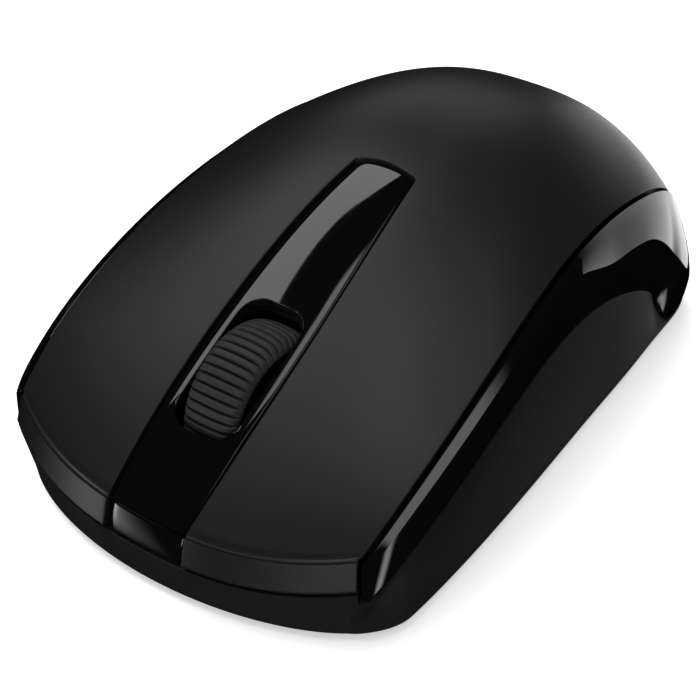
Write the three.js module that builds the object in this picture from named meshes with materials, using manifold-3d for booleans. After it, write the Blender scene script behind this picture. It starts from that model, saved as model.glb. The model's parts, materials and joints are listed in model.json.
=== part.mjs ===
// A compact three-button wireless mouse, millimetres, +Z up.
// The buttons point along -Y, the palm end along +Y, and +X is the thumb side of a right hand.
import * as THREE from 'three';
import { mergeVertices } from 'three/addons/utils/BufferGeometryUtils.js';
import Module from 'manifold-3d';

const wasm = await Module();
wasm.setup();

// ---------------------------------------------------------------- driving dimensions

// Lists of numbers are control values of a clamped cubic B-spline from HULL_FRONT to HULL_REAR.
const HULL_FRONT = -50;
const HULL_REAR = 50;
const ORIGIN_SHIFT = -0.4;                 // along Y, puts the origin under the middle of the outline

const COVER = {
  halfWidth: [24.7, 27.2, 28.5, 25.9, 24.3, 25.7, 28.2],    // plan of the seam round the top cover
  rearRound: { from: 7, power: 2.95 },                      // where the plan turns in towards the rear
  seamHeight: [6.7, 14.8, 23.9, 32.1, 31.7, 21.6, 6.4],
  crestHeight: [9.9, 16.3, 25.9, 38.0, 39.7, 33.2, 22.8],
  crestRound: { from: 18.5, power: 2.44 },                  // the crest falls to the seam at the rear
  crown: 2.6,                                               // power of the cross section
  wall: 1.7,
};
const FRONT = { halfWidth: 26.5, y: -48.95, sweep: 6.7, power: 2.4, lipOut: 0.96, lipHeight: 3.9, setBack: 0.45 };
const STRIP = { halfWidth: [5.7, 7.6, 4.35], rearY: -0.75, rearBow: 0.8, recess: 0.3, wall: 1.5 };
const WHEEL_SLOT = { front: -39.1, rear: -22.2, halfWidth: 4.75 };
const TRIM = {
  lowerOut: [1.4, 1.7, 1.0, 0.3, 0.9],                      // lower edge, outward of the seam
  lowerHeight: [2.8, 8.1, 15.9, 22.0, 16.8, 2.2, 2.2],
  dive: { from: 30, to: 37.5, height: 2.2 },                // y where the lower edge dives to the base line
  meetsBase: { from: 8, to: 2.4 },                          // lower edge heights where it joins the base line
  bulge: { height: 1.3, from: 12, full: 40, end: 49 },      // of the flank, along y
  tip: { reach: 0.35, length: 4 },                          // the front corner starts thin and rounds outward
  topOut: 0.45,
  topDrop: 0.35,
  wall: 1.2,
};
const BASE = {
  halfWidth: [28.2, 29.7, 29.8, 27.7, 25.4, 25.4, 33.9],    // plan of the lower case near the desk
  frontEnd: -49.1,
  frontRound: { from: -35.2, power: 2.0 },
  rearEnd: 50.0,
  rearRound: { from: 9.75, power: 3.6 },
  bottom: 0.8,
  edge: 1.9,                                                // height of the widest line
  chamfer: 0.9,
  floorTop: 2.5,
  wall: 1.8,
  waist: 1.0,                                               // depth of the hollow in the side walls
  waistY: -12,
  waistSpread: 26,
  frontTaper: 0.945,                                        // base width over the lips' width at the front
};
const GAP = 0.3;                                            // between pieces that touch
const SLIT = 0.35;                                          // shadow gaps round the buttons
const LIP_GAP = 0.8;                                        // under the button lips, room to press
const BUTTON_ROOT = 0.6;                                    // where the buttons join the palm cover

const WHEEL = { y: -27.6, z: 14.8, radius: 10.5, rim: 8.4, halfWidth: 4, shoulder: 1.3, axle: 1.6 };
const HUB = { radius: 8.1, halfWidth: 2.5, boss: 3.2, slots: 16, slotIn: 4.4, slotOut: 7.0, length: 13.8 };
const CARRIAGE = { inner: 5.0, arm: 1.6, front: -40.4, rear: -14.8, low: 11.0, high: 13.2, tower: 17.2 };
const BOARD = { bottom: 5.6, top: 6.8, halfWidth: 20.5, front: -41.5, rear: -6.2 };
const BOARD_SLOT = { halfWidth: 6, front: -36, rear: -19 };
const PARTS_Z = BOARD.top + GAP;                            // where board components start

const SWITCH = { x: 13.5, y: -34.5, width: 5.8, length: 12.8, top: 13.3 };
const PLUNGER = { y: -37.5, radius: 1.0, top: 14.1 };
const POST = { size: 3, bottom: PLUNGER.top + GAP, top: 16.4 };      // rib under each button
const MIDDLE_SWITCH = { y: -39.6, size: 4.4, top: 9.7, plunger: 10.7 };
const SENSOR = { y: -11.5, width: 9.8, length: 9, height: 2.6 };
const LENS = { halfWidth: 5, front: -17.2, rear: -6.8, boss: 2.6 };
const APERTURE = { halfWidth: 3.2, front: -14.6, rear: -8.4 };
const IR = { x: 10.9, y: -21.6, size: 3, depth: 4, bodyZ: 12.4, top: 17.2 };

const CELL = { x: -8, z: 8.1, radius: 5.25, front: -2.2, rear: 41.3, nub: 1.0, nubRadius: 1.9 };
const CONTACT = { front: -4.2, rear: 44.8, thickness: 0.4, halfWidth: 4, low: 3.1, high: 13 };
const RECEIVER = { x: 5.8, width: 14.4, low: 3.2, height: 6.6, plugFront: 12, split: 24.6, rear: 31 };
const BAY = { halfWidth: 14.8, front: -4.6, rear: 45.8, wall: 1.2, top: 11 };
const SLIDER = { x: -14, y: -13.5, travel: 2, width: 3, length: 3.6 };
const FEET = [
  { name: 'front_left_foot', x: 15, y: -38.5, width: 13, length: 6, turn: 0.42 },
  { name: 'front_right_foot', x: -15, y: -38.5, width: 13, length: 6, turn: -0.42 },
  { name: 'rear_left_foot', x: 19, y: 34, width: 5, length: 17, turn: 0.04 },
  { name: 'rear_right_foot', x: -19, y: 34, width: 5, length: 17, turn: -0.04 },
];
const FOOT_THICKNESS = 0.55;
const CASE_SCREW = { x: 20, y: 5, boss: 3.2, post: 2.8, head: 2.1, shaft: 1.1, seat: 4.3, top: 7.0, tip: 15 };
const BOARD_SCREW = { x: 17.5, y: -25, boss: 2.2, head: 1.9, shaft: 0.9 };

// ---------------------------------------------------------------- finishes

const finish = (color, roughness, metalness = 0) => ({ color, roughness, metalness });
const MATTE_BLACK = finish(0x2b2b2c, 0.6);
const CASE_BLACK = finish(0x1e1e1f, 0.55);
const GLOSS_BLACK = finish(0x0a0a0b, 0.12);
const INNER_BLACK = finish(0x161617, 0.5);
const RUBBER = finish(0x1c1c1c, 0.75);
const BOARD_GREEN = finish(0x1c4a2c, 0.5);
const STEEL = finish(0xb8bbc0, 0.3, 1);
const SPRING_STEEL = finish(0xc9c9c4, 0.25, 1);
const CHIP = finish(0x121214, 0.45);
const CLEAR = finish(0xdfe8ee, 0.08);
const CELL_WRAP = finish(0x39424e, 0.35);
const GLIDE = finish(0x3a3a3c, 0.4);
const IR_DARK = finish(0x1d1016, 0.15);
const CREAM = finish(0xd8d0bc, 0.5);

// ---------------------------------------------------------------- curves of the hull

const clamp = THREE.MathUtils.clamp;
const lerp = THREE.MathUtils.lerp;
const vec = (x, y, z) => new THREE.Vector3(x, y, z);

// Clamped uniform cubic B-spline through its first and last control value, s from 0 to 1.
function spline(values, s) {
  const spans = values.length - 3;
  const knot = (i) => clamp(i - 3, 0, spans);
  const t = clamp(s, 0, 1) * spans;
  const k = Math.min(Math.floor(t), spans - 1) + 3;
  const d = values.slice(k - 3, k + 1);
  for (let level = 1; level <= 3; level++) {
    for (let j = 3; j >= level; j--) {
      const low = knot(k - 3 + j);
      const high = knot(k + 1 + j - level);
      d[j] = lerp(d[j - 1], d[j], (t - low) / (high - low));
    }
  }
  return d[3];
}
const along = (values, y) => spline(values, (y - HULL_FRONT) / (HULL_REAR - HULL_FRONT));

// 1 before `from`, then a superellipse quarter down to 0 at `end`.
function roundOff(y, from, end, power) {
  const q = clamp((y - from) / (end - from), 0, 1);
  return Math.max(1 - q ** power, 0) ** (1 / power);
}
const seamHalfWidth = (y) =>
  along(COVER.halfWidth, y) * roundOff(y, COVER.rearRound.from, HULL_REAR, COVER.rearRound.power);
const seamHeight = (y) => along(COVER.seamHeight, y);
const baseHalfWidth = (y) =>
  along(BASE.halfWidth, y)
  * roundOff(y, BASE.frontRound.from, BASE.frontEnd, BASE.frontRound.power)
  * roundOff(y, BASE.rearRound.from, BASE.rearEnd, BASE.rearRound.power);

// Height of the top cover over the plan point (x, y).
function deck(x, y) {
  const low = seamHeight(y);
  const rise = (along(COVER.crestHeight, y) - low)
    * roundOff(y, COVER.crestRound.from, HULL_REAR, COVER.crestRound.power);
  const u = Math.min(Math.abs(x) / Math.max(seamHalfWidth(y), 0.01), 1);
  return low + rise * (1 - u ** COVER.crown);
}
function deckNormal(x, y) {
  const h = 0.02;
  const inward = x > 0 ? x - 2 * h : x;
  const back = Math.min(y, HULL_REAR - 0.6);
  const dx = (deck(inward + h, back) - deck(inward - h, back)) / (2 * h);
  const dy = (deck(x * 0.98, back + h) - deck(x * 0.98, back - h)) / (2 * h);
  return vec(-dx, -dy, 1).normalize();
}

// The crease over the button lips, and its outward direction in plan.
const frontY = (x) => FRONT.y + FRONT.sweep * (Math.abs(x) / FRONT.halfWidth) ** FRONT.power;
function frontNormal(x) {
  const slope = (frontY(x + 0.01) - frontY(x - 0.01)) / 0.02;
  return vec(slope, -1, 0).normalize();
}
const CORNER_Y = FRONT.y + FRONT.sweep;

function stripHalfWidth(y) {
  const q = clamp((y - FRONT.y) / (STRIP.rearY - FRONT.y), 0, 1);
  const [a, b, c] = STRIP.halfWidth;
  return a * (1 - q) ** 2 + 2 * b * q * (1 - q) + c * q * q;
}

// y values from `from` to the rear end, closer together where the plan turns, at both ends.
const sideStations = (count, from) =>
  Array.from({ length: count + 1 }, (_, i) => lerp(from, HULL_REAR, (1 - Math.cos((i / count) * Math.PI)) / 2));

function seamNormal(y) {
  const h = 0.05;
  const a = Math.min(y, HULL_REAR - 2 * h) - h;
  const run = seamHalfWidth(a + 2 * h) - seamHalfWidth(a);
  return y > HULL_REAR - 1e-6 ? vec(0, 1, 0) : vec(2 * h, -run, 0).normalize();
}

// Distance along the seam's normal from the seam's plan to the case outline, by bisection.
function baseReach(y) {
  const out = seamNormal(y);
  const from = vec(seamHalfWidth(y), y, 0);
  let [inside, outside] = [-5, 12];
  for (let i = 0; i < 40; i++) {
    const mid = (inside + outside) / 2;
    const p = from.clone().addScaledVector(out, mid);
    if (p.x < baseHalfWidth(p.y)) inside = mid;
    else outside = mid;
  }
  return inside;
}
// Height of a trim's lower edge.
function trimLow(y) {
  const { from, to, height } = TRIM.dive;
  return lerp(along(TRIM.lowerHeight, y), height, THREE.MathUtils.smoothstep(y, from, to));
}
// How far a trim's flank swells out at half height.
function trimBulge(y) {
  const { height, from, full, end } = TRIM.bulge;
  const { smoothstep } = THREE.MathUtils;
  return height * smoothstep(y, from, full) * (1 - smoothstep(y, full, end));
}
// Outward offset of a trim's lower edge from the seam: its own, then the base line's at the rear.
function trimLowerOut(y) {
  const { from, to } = TRIM.meetsBase;
  const share = THREE.MathUtils.smoothstep(-trimLow(y), -from, -to);
  return lerp(along(TRIM.lowerOut, y), baseReach(y), share);
}

// ---------------------------------------------------------------- closed solids from points

function solidFrom(points, triangles) {
  const raw = new THREE.BufferGeometry();
  raw.setAttribute('position', new THREE.Float32BufferAttribute(points.flatMap((p) => [p.x, p.y, p.z]), 3));
  raw.setIndex(triangles.flat());
  const merged = mergeVertices(raw, 1e-4);
  const old = merged.index.array;
  const kept = [];
  for (let i = 0; i < old.length; i += 3) {
    const [a, b, c] = [old[i], old[i + 1], old[i + 2]];
    if (a !== b && b !== c && c !== a) kept.push(a, b, c);
  }
  merged.setIndex(signedVolume(merged.attributes.position, kept) < 0 ? kept.reverse() : kept);
  return merged;
}
function signedVolume(position, index) {
  const [a, b, c] = [vec(), vec(), vec()];
  let sum = 0;
  for (let i = 0; i < index.length; i += 3) {
    a.fromBufferAttribute(position, index[i]);
    b.fromBufferAttribute(position, index[i + 1]);
    c.fromBufferAttribute(position, index[i + 2]);
    sum += a.dot(b.cross(c));
  }
  return sum;
}

// A sheet with thickness: two grids of points of the same size, joined round their edges.
function thickSheet(outer, inner) {
  const rows = outer.length;
  const cols = outer[0].length;
  const points = [...outer.flat(), ...inner.flat()];
  const at = (side, r, c) => side * rows * cols + r * cols + c;
  const triangles = [];
  const quad = (a, b, c, d) => triangles.push([a, b, c], [a, c, d]);
  for (let r = 0; r + 1 < rows; r++) {
    for (let c = 0; c + 1 < cols; c++) {
      quad(at(0, r, c), at(0, r, c + 1), at(0, r + 1, c + 1), at(0, r + 1, c));
      quad(at(1, r, c), at(1, r + 1, c), at(1, r + 1, c + 1), at(1, r, c + 1));
    }
  }
  for (let c = 0; c + 1 < cols; c++) {
    quad(at(0, 0, c), at(1, 0, c), at(1, 0, c + 1), at(0, 0, c + 1));
    quad(at(0, rows - 1, c), at(0, rows - 1, c + 1), at(1, rows - 1, c + 1), at(1, rows - 1, c));
  }
  for (let r = 0; r + 1 < rows; r++) {
    quad(at(0, r, 0), at(0, r + 1, 0), at(1, r + 1, 0), at(1, r, 0));
    quad(at(0, r, cols - 1), at(1, r, cols - 1), at(1, r + 1, cols - 1), at(0, r + 1, cols - 1));
  }
  return solidFrom(points, triangles);
}

// Closed loops of points, each joined to the next, with a flat cap on the first and the last.
function loftLoops(loops, flatten) {
  const n = loops[0].length;
  const points = loops.flat();
  const triangles = [];
  for (let r = 0; r + 1 < loops.length; r++) {
    for (let i = 0; i < n; i++) {
      const j = (i + 1) % n;
      triangles.push([r * n + i, r * n + j, (r + 1) * n + j], [r * n + i, (r + 1) * n + j, (r + 1) * n + i]);
    }
  }
  const caps = [[0, -1], [loops.length - 1, 1]];
  for (const [r, side] of caps) {
    const outline = loops[r].map(flatten);
    const clockwise = THREE.ShapeUtils.isClockWise(outline);
    for (const [a, b, c] of THREE.ShapeUtils.triangulateShape(outline, [])) {
      const keep = (side > 0) !== clockwise;
      triangles.push(keep ? [r * n + a, r * n + b, r * n + c] : [r * n + c, r * n + b, r * n + a]);
    }
  }
  return solidFrom(points, triangles);
}

// ---------------------------------------------------------------- joining and cutting

function toManifold(geometry) {
  const plain = geometry.clone();
  plain.deleteAttribute('normal');
  plain.deleteAttribute('uv');
  const merged = mergeVertices(plain, 1e-4);
  const mesh = new wasm.Mesh({
    numProp: 3,
    vertProperties: new Float32Array(merged.attributes.position.array),
    triVerts: new Uint32Array(merged.index.array),
  });
  return new wasm.Manifold(mesh);
}
function fromManifold(solid) {
  const mesh = solid.getMesh();
  const geometry = new THREE.BufferGeometry();
  geometry.setAttribute('position', new THREE.BufferAttribute(mesh.vertProperties, 3));
  geometry.setIndex(new THREE.BufferAttribute(mesh.triVerts, 1));
  return geometry;
}
const cut = (geometry, ...tools) =>
  fromManifold(tools.reduce((solid, tool) => solid.subtract(toManifold(tool)), toManifold(geometry)));
const join = (geometry, ...more) =>
  fromManifold(more.reduce((solid, other) => solid.add(toManifold(other)), toManifold(geometry)));

// ---------------------------------------------------------------- simple shapes

function box(x0, x1, y0, y1, z0, z1) {
  const geometry = new THREE.BoxGeometry(x1 - x0, y1 - y0, z1 - z0);
  return geometry.translate((x0 + x1) / 2, (y0 + y1) / 2, (z0 + z1) / 2);
}
// Cylinder standing on z0, along Z.
function post(x, y, z0, z1, radius, sides = 20) {
  const geometry = new THREE.CylinderGeometry(radius, radius, z1 - z0, sides);
  return geometry.rotateX(Math.PI / 2).translate(x, y, (z0 + z1) / 2);
}
function roundedRectangle(x0, x1, y0, y1, radius) {
  const shape = new THREE.Shape();
  shape.moveTo(x0 + radius, y0).lineTo(x1 - radius, y0);
  shape.absarc(x1 - radius, y0 + radius, radius, -Math.PI / 2, 0);
  shape.lineTo(x1, y1 - radius);
  shape.absarc(x1 - radius, y1 - radius, radius, 0, Math.PI / 2);
  shape.lineTo(x0 + radius, y1);
  shape.absarc(x0 + radius, y1 - radius, radius, Math.PI / 2, Math.PI);
  shape.lineTo(x0, y0 + radius);
  shape.absarc(x0 + radius, y0 + radius, radius, Math.PI, 1.5 * Math.PI);
  return shape;
}
function slab(shape, z0, z1, curveSegments = 5) {
  const geometry = new THREE.ExtrudeGeometry(shape, { depth: z1 - z0, bevelEnabled: false, curveSegments });
  return geometry.translate(0, 0, z0);
}
// Profile points [y, z] extruded along X.
function plateAlongX(profile, x0, x1) {
  const shape = new THREE.Shape(profile.map(([y, z]) => new THREE.Vector2(y, z)));
  const geometry = new THREE.ExtrudeGeometry(shape, { depth: x1 - x0, bevelEnabled: false });
  const turn = new THREE.Matrix4().makeBasis(vec(0, 1, 0), vec(0, 0, 1), vec(1, 0, 0));
  return geometry.applyMatrix4(turn).translate(x0, 0, 0);
}
function wire(points, radius, steps, sides = 6) {
  const path = new THREE.CatmullRomCurve3(points);
  const section = new THREE.Shape();
  section.absarc(0, 0, radius, 0, 2 * Math.PI);
  return new THREE.ExtrudeGeometry(section, { steps, extrudePath: path, curveSegments: sides / 2 });
}

// ---------------------------------------------------------------- shells of the hull

const COLUMNS = 20;
const fractions = (count) => Array.from({ length: count + 1 }, (_, i) => i / count);

// The cover from the button roots to the rear, with the two screw posts that stand under it.
function palmCover() {
  const front = BUTTON_ROOT + GAP / 2;
  const rows = sideStations(20, front);
  const outer = rows.map((y) => fractions(COLUMNS).map((f) => {
    const x = (2 * f - 1) * seamHalfWidth(y);
    return vec(x, y, deck(x, y));
  }));
  const inner = outer.map((row) => row.map((p) => {
    const depth = p.y > HULL_REAR - 1e-6 ? vec(0, 1, 0) : deckNormal(p.x, p.y);
    const q = p.clone().addScaledVector(depth, -COVER.wall);
    return vec(q.x, Math.max(q.y, front), q.z);
  }));
  const shell = thickSheet(outer, inner);
  const posts = [-1, 1].map((side) => {
    const x = side * CASE_SCREW.x;
    return post(x, CASE_SCREW.y, CASE_SCREW.top + GAP, deck(x, CASE_SCREW.y) - 2.2, CASE_SCREW.post);
  });
  const pilots = [-1, 1].map((side) =>
    post(side * CASE_SCREW.x, CASE_SCREW.y, CASE_SCREW.top - 1, CASE_SCREW.tip + 1, CASE_SCREW.shaft + GAP, 12));
  return cut(join(shell, ...posts), ...pilots);
}

// One row across a front piece, from x0 to x1: the lip's foot, the crease, or the deck at y.
function frontRow(kind, x0, x1, columns, y) {
  return fractions(columns).map((f) => {
    const x = lerp(x0, x1, f);
    const creaseY = frontY(x);
    if (kind === 'foot') {
      const out = frontNormal(x).multiplyScalar(FRONT.lipOut);
      return vec(x + out.x, creaseY + out.y, deck(x, creaseY) - FRONT.lipHeight);
    }
    const at = kind === 'crease' ? creaseY : y(x);
    return vec(x, at, deck(x, at));
  });
}
// The inner side of a front row: in from the lip, and down from the deck.
function innerRow(row, wall, kind) {
  return row.map((p) => {
    const back = frontNormal(p.x).multiplyScalar(-wall);
    if (kind === 'foot') return vec(p.x + back.x, p.y + back.y, p.z);
    if (kind === 'crease') return vec(p.x + back.x, p.y + back.y, p.z - wall);
    return vec(p.x, p.y, p.z - wall * 1.08);
  });
}

// A button: the lip, the crease and the deck beside the centre strip.
function button(side) {
  const columns = 8;
  const rows = 15;
  const edges = (y) => [stripHalfWidth(y) + SLIT, seamHalfWidth(y)];
  const [near, far] = [stripHalfWidth(FRONT.y) + SLIT, FRONT.halfWidth - 0.05];
  const outer = [frontRow('foot', near, far, columns), frontRow('crease', near, far, columns)];
  const inner = [innerRow(outer[0], COVER.wall, 'foot'), innerRow(outer[1], COVER.wall, 'crease')];
  for (let r = 1; r <= rows; r++) {
    const row = fractions(columns).map((f) => {
      const start = frontY(lerp(near, far, f));
      const y = lerp(start, BUTTON_ROOT - GAP / 2, r / rows);
      const [a, b] = edges(y);
      const x = lerp(a, b, f);
      return vec(x, y, deck(x, y));
    });
    outer.push(row);
    inner.push(innerRow(row, COVER.wall, 'deck'));
  }
  const shell = thickSheet(outer, inner);
  const half = POST.size / 2;
  const rib = box(SWITCH.x - half, SWITCH.x + half, PLUNGER.y - half, PLUNGER.y + half, POST.bottom, POST.top);
  const whole = join(shell, rib);
  return side > 0 ? whole : mirrorX(whole);
}
function mirrorX(geometry) {
  const flipped = geometry.clone().scale(-1, 1, 1);
  flipped.setIndex([...flipped.index.array].reverse());
  return flipped;
}

// The glossy strip between the buttons, a little lower than the deck, with the wheel's slot.
function centerStrip() {
  const columns = 8;
  const rows = 16;
  const half = stripHalfWidth(FRONT.y);
  const lower = (row) => row.map((p) => vec(p.x, p.y + STRIP.recess, p.z - STRIP.recess));
  const outer = [frontRow('foot', -half, half, columns), frontRow('crease', -half, half, columns)].map(lower);
  const inner = [innerRow(outer[0], STRIP.wall, 'foot'), innerRow(outer[1], STRIP.wall, 'crease')];
  for (let r = 1; r <= rows; r++) {
    const row = fractions(columns).map((f) => {
      const u = 2 * f - 1;
      const end = STRIP.rearY + STRIP.rearBow * (1 - u * u);
      const y = lerp(frontY(u * half) + STRIP.recess, end, r / rows);
      const x = u * stripHalfWidth(y);
      return vec(x, y, deck(x, y) - STRIP.recess);
    });
    outer.push(row);
    inner.push(innerRow(row, STRIP.wall, 'deck'));
  }
  const { front, rear, halfWidth } = WHEEL_SLOT;
  const slot = slab(roundedRectangle(-halfWidth, halfWidth, front, rear, 3), 8, 34);
  return cut(thickSheet(outer, inner), slot);
}

// Stations of a side trim: a fan round the front corner, then along the seam to the rear.
function trimStations() {
  const reach = 0.4;
  const start = frontNormal(FRONT.halfWidth);
  const tangent = vec(-start.y, start.x, 0);
  const corner = vec(FRONT.halfWidth, CORNER_Y, 0).addScaledVector(tangent, reach);
  const end = seamNormal(CORNER_Y);
  const stations = [0, 0.33, 0.67].map((f) => ({
    base: corner,
    out: start.clone().lerp(end, f).normalize(),
    top: seamHeight(CORNER_Y),
    low: lerp(deck(FRONT.halfWidth, CORNER_Y) - FRONT.lipHeight - 0.2, trimLow(CORNER_Y), f),
    lowerOut: trimLowerOut(CORNER_Y),
    least: 0.12,
    reach: TRIM.tip.reach,
    bulge: 0,
  }));
  for (const y of sideStations(40, CORNER_Y + 0.6)) {
    const out = seamNormal(y);
    const turn = 1 - clamp((y - CORNER_Y) / TRIM.tip.length, 0, 1);
    stations.push({
      base: vec(seamHalfWidth(y), y, 0).addScaledVector(out, SLIT),
      out,
      top: seamHeight(y),
      low: trimLow(y),
      lowerOut: trimLowerOut(y),
      least: y < CORNER_Y + 2 ? 0.12 : -5,
      reach: lerp(TRIM.tip.reach, 1, Math.sqrt(1 - turn * turn)),
      bulge: trimBulge(y),
    });
  }
  return stations;
}
function sideTrim(side) {
  const loops = trimStations().map(({ base, out, top, low, lowerOut, least, reach, bulge }) => {
    const at = (offset, z) => {
      const p = base.clone().addScaledVector(out, Math.max(offset * reach, least));
      return vec(Math.max(p.x, GAP / 2), p.y, z);
    };
    const upper = top - TRIM.topDrop;
    const outerLow = lowerOut - SLIT;
    const mid = lerp(upper, low, 0.5);
    const outerMid = lerp(TRIM.topOut, outerLow, 0.5) + 0.15 + bulge;
    const shoulder = Math.max(upper - 2.6, lerp(upper, low, 0.35));
    return [
      at(0, upper), at(TRIM.topOut, upper), at(outerMid, mid), at(outerLow, low),
      at(outerLow - TRIM.wall, low), at(outerMid - TRIM.wall, mid), at(0, shoulder),
    ];
  });
  const flatten = (p) => new THREE.Vector2(Math.hypot(p.x - 20, p.y - 20), p.z);
  const trim = loftLoops(loops, flatten);
  return side > 0 ? trim : mirrorX(trim);
}

// ---------------------------------------------------------------- lower case and its door

// One half of the case outline, front middle to rear middle: wall top and widest line near the desk.
function caseStations() {
  const stations = [];
  const frontCount = 12;
  for (let i = 0; i <= frontCount; i++) {
    const x = FRONT.halfWidth * Math.sin((i / frontCount) * Math.PI / 2);
    const out = frontNormal(x);
    const inset = FRONT.lipOut - FRONT.setBack;             // the case stands back under the lips
    const y = frontY(x);
    const baseX = x * BASE.frontTaper;
    const underLip = deck(x, y) - FRONT.lipHeight - LIP_GAP;
    const underTrim = trimLow(CORNER_Y) - GAP;
    stations.push({
      top: vec(x + out.x * inset, y + out.y * inset, i < frontCount ? underLip : underTrim),
      edge: vec(baseX, baseFrontY(baseX), BASE.edge),
      out,
      waist: 0,
    });
  }
  for (const y of sideStations(40, CORNER_Y + 0.6)) {
    const out = seamNormal(y);
    const seam = vec(seamHalfWidth(y), y, 0);
    const top = seam.clone().addScaledVector(out, trimLowerOut(y));
    top.z = trimLow(y) - GAP;
    const edge = seam.clone().addScaledVector(out, baseReach(y));
    edge.z = BASE.edge;
    const waist = BASE.waist * Math.exp(-(((y - BASE.waistY) / BASE.waistSpread) ** 2));
    const flat = top.z < BASE.edge + 0.2;                   // no wall left under the trim
    stations.push(flat ? { top: edge, edge, out, waist: 0 } : { top, edge, out, waist });
  }
  return stations;
}
// y of the case's front outline at half width x, by bisection.
function baseFrontY(x) {
  let [low, high] = [BASE.frontEnd, BASE.frontRound.from];
  for (let i = 0; i < 40; i++) {
    const mid = (low + high) / 2;
    if (baseHalfWidth(mid) < x) low = mid;
    else high = mid;
  }
  return (low + high) / 2;
}
function lowerCase() {
  const half = caseStations();
  const mirrored = (p) => vec(-p.x, p.y, p.z);
  const loop = (pick) => {
    const right = half.map(pick);
    return [...right, ...right.slice(1, -1).reverse().map(mirrored)];
  };
  const inward = (p, s, d) => vec(Math.max(p.x - s.out.x * d, 0), p.y - s.out.y * d, p.z);
  const wallAt = (s, f) => {
    const p = s.top.clone().lerp(s.edge, f);
    return inward(p, s, 4 * f * (1 - f) * s.waist);
  };
  const level = (p, z) => vec(p.x, p.y, z);
  const floorAt = (s) => {
    const p = inward(s.edge, s, BASE.wall + 0.6);
    return level(p, BASE.floorTop);
  };
  const loops = [
    loop((s) => level(inward(s.edge, s, BASE.chamfer), BASE.bottom)),
    loop((s) => s.edge),
    loop((s) => wallAt(s, 0.66)),
    loop((s) => wallAt(s, 0.33)),
    loop((s) => s.top),
    loop((s) => inward(s.top, s, BASE.wall)),
    loop((s) => inward(wallAt(s, 0.5), s, BASE.wall)),
    loop(floorAt),
  ];
  const tray = loftLoops(loops, (p) => new THREE.Vector2(p.x, p.y));
  return cut(join(tray, ...caseBosses(), ...bayWalls()), ...caseHoles());
}
function caseBosses() {
  const floor = BASE.floorTop - 0.6;
  return [-1, 1].flatMap((side) => [
    post(side * CASE_SCREW.x, CASE_SCREW.y, floor, CASE_SCREW.top, CASE_SCREW.boss, 20),
    post(side * BOARD_SCREW.x, BOARD_SCREW.y, floor, BOARD.bottom - GAP, BOARD_SCREW.boss, 16),
  ]);
}
function bayWalls() {
  const { halfWidth, front, rear, wall, top } = BAY;
  const floor = BASE.floorTop - 0.6;
  const sides = [-1, 1].map((side) => {
    const [a, b] = [side * halfWidth, side * (halfWidth + wall)];
    return box(Math.min(a, b), Math.max(a, b), front, rear - 6, floor, top);
  });
  return [...sides, box(-halfWidth - wall, halfWidth + wall, front - 1, front, floor, top)];
}
function caseHoles() {
  const { halfWidth, front, rear } = BAY;
  const door = slab(roundedRectangle(-halfWidth, halfWidth, front, rear, 4), -1, 5);
  const window = slab(roundedRectangle(-APERTURE.halfWidth, APERTURE.halfWidth, APERTURE.front, APERTURE.rear, 1.4), -1, 5);
  const slot = box(
    SLIDER.x - SLIDER.width / 2 - GAP, SLIDER.x + SLIDER.width / 2 + GAP,
    SLIDER.y - SLIDER.length / 2 - GAP, SLIDER.y + SLIDER.length / 2 + SLIDER.travel + GAP, -1, 5,
  );
  const screws = [-1, 1].flatMap((side) => [
    post(side * CASE_SCREW.x, CASE_SCREW.y, -1, CASE_SCREW.seat, CASE_SCREW.head + GAP, 20),
    post(side * CASE_SCREW.x, CASE_SCREW.y, -1, CASE_SCREW.top + 1, CASE_SCREW.shaft + GAP, 12),
    post(side * BOARD_SCREW.x, BOARD_SCREW.y, BASE.floorTop - 0.4, BOARD.top, BOARD_SCREW.shaft + GAP, 12),
  ]);
  return [door, window, slot, ...screws];
}
function batteryDoor() {
  const { halfWidth, front, rear } = BAY;
  const shape = roundedRectangle(-halfWidth + GAP, halfWidth - GAP, front + GAP, rear - GAP, 4 - GAP);
  const plate = slab(shape, BASE.bottom, BASE.floorTop - 0.1);
  const grip = slab(roundedRectangle(-7, 7, rear - 8, rear - 4, 1.9), BASE.bottom - 1, BASE.bottom + 0.5);
  return cut(plate, grip);
}

// ---------------------------------------------------------------- wheel

// A solid turned about the wheel's axle, profile points [radius, x].
function turned(profile, sides) {
  const points = profile.map(([r, x]) => new THREE.Vector2(r, x));
  return new THREE.LatheGeometry(points, sides).rotateZ(-Math.PI / 2);
}
function tyre() {
  const { radius, rim, halfWidth, shoulder } = WHEEL;
  const profile = [
    [rim, -halfWidth + 0.6], [radius - shoulder, -halfWidth], [radius - 0.3, -halfWidth + 0.5],
    [radius, -halfWidth + shoulder], [radius, halfWidth - shoulder], [radius - 0.3, halfWidth - 0.5],
    [radius - shoulder, halfWidth], [rim, halfWidth - 0.6], [rim, -halfWidth + 0.6],
  ];
  return turned(profile, 48);
}
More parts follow.
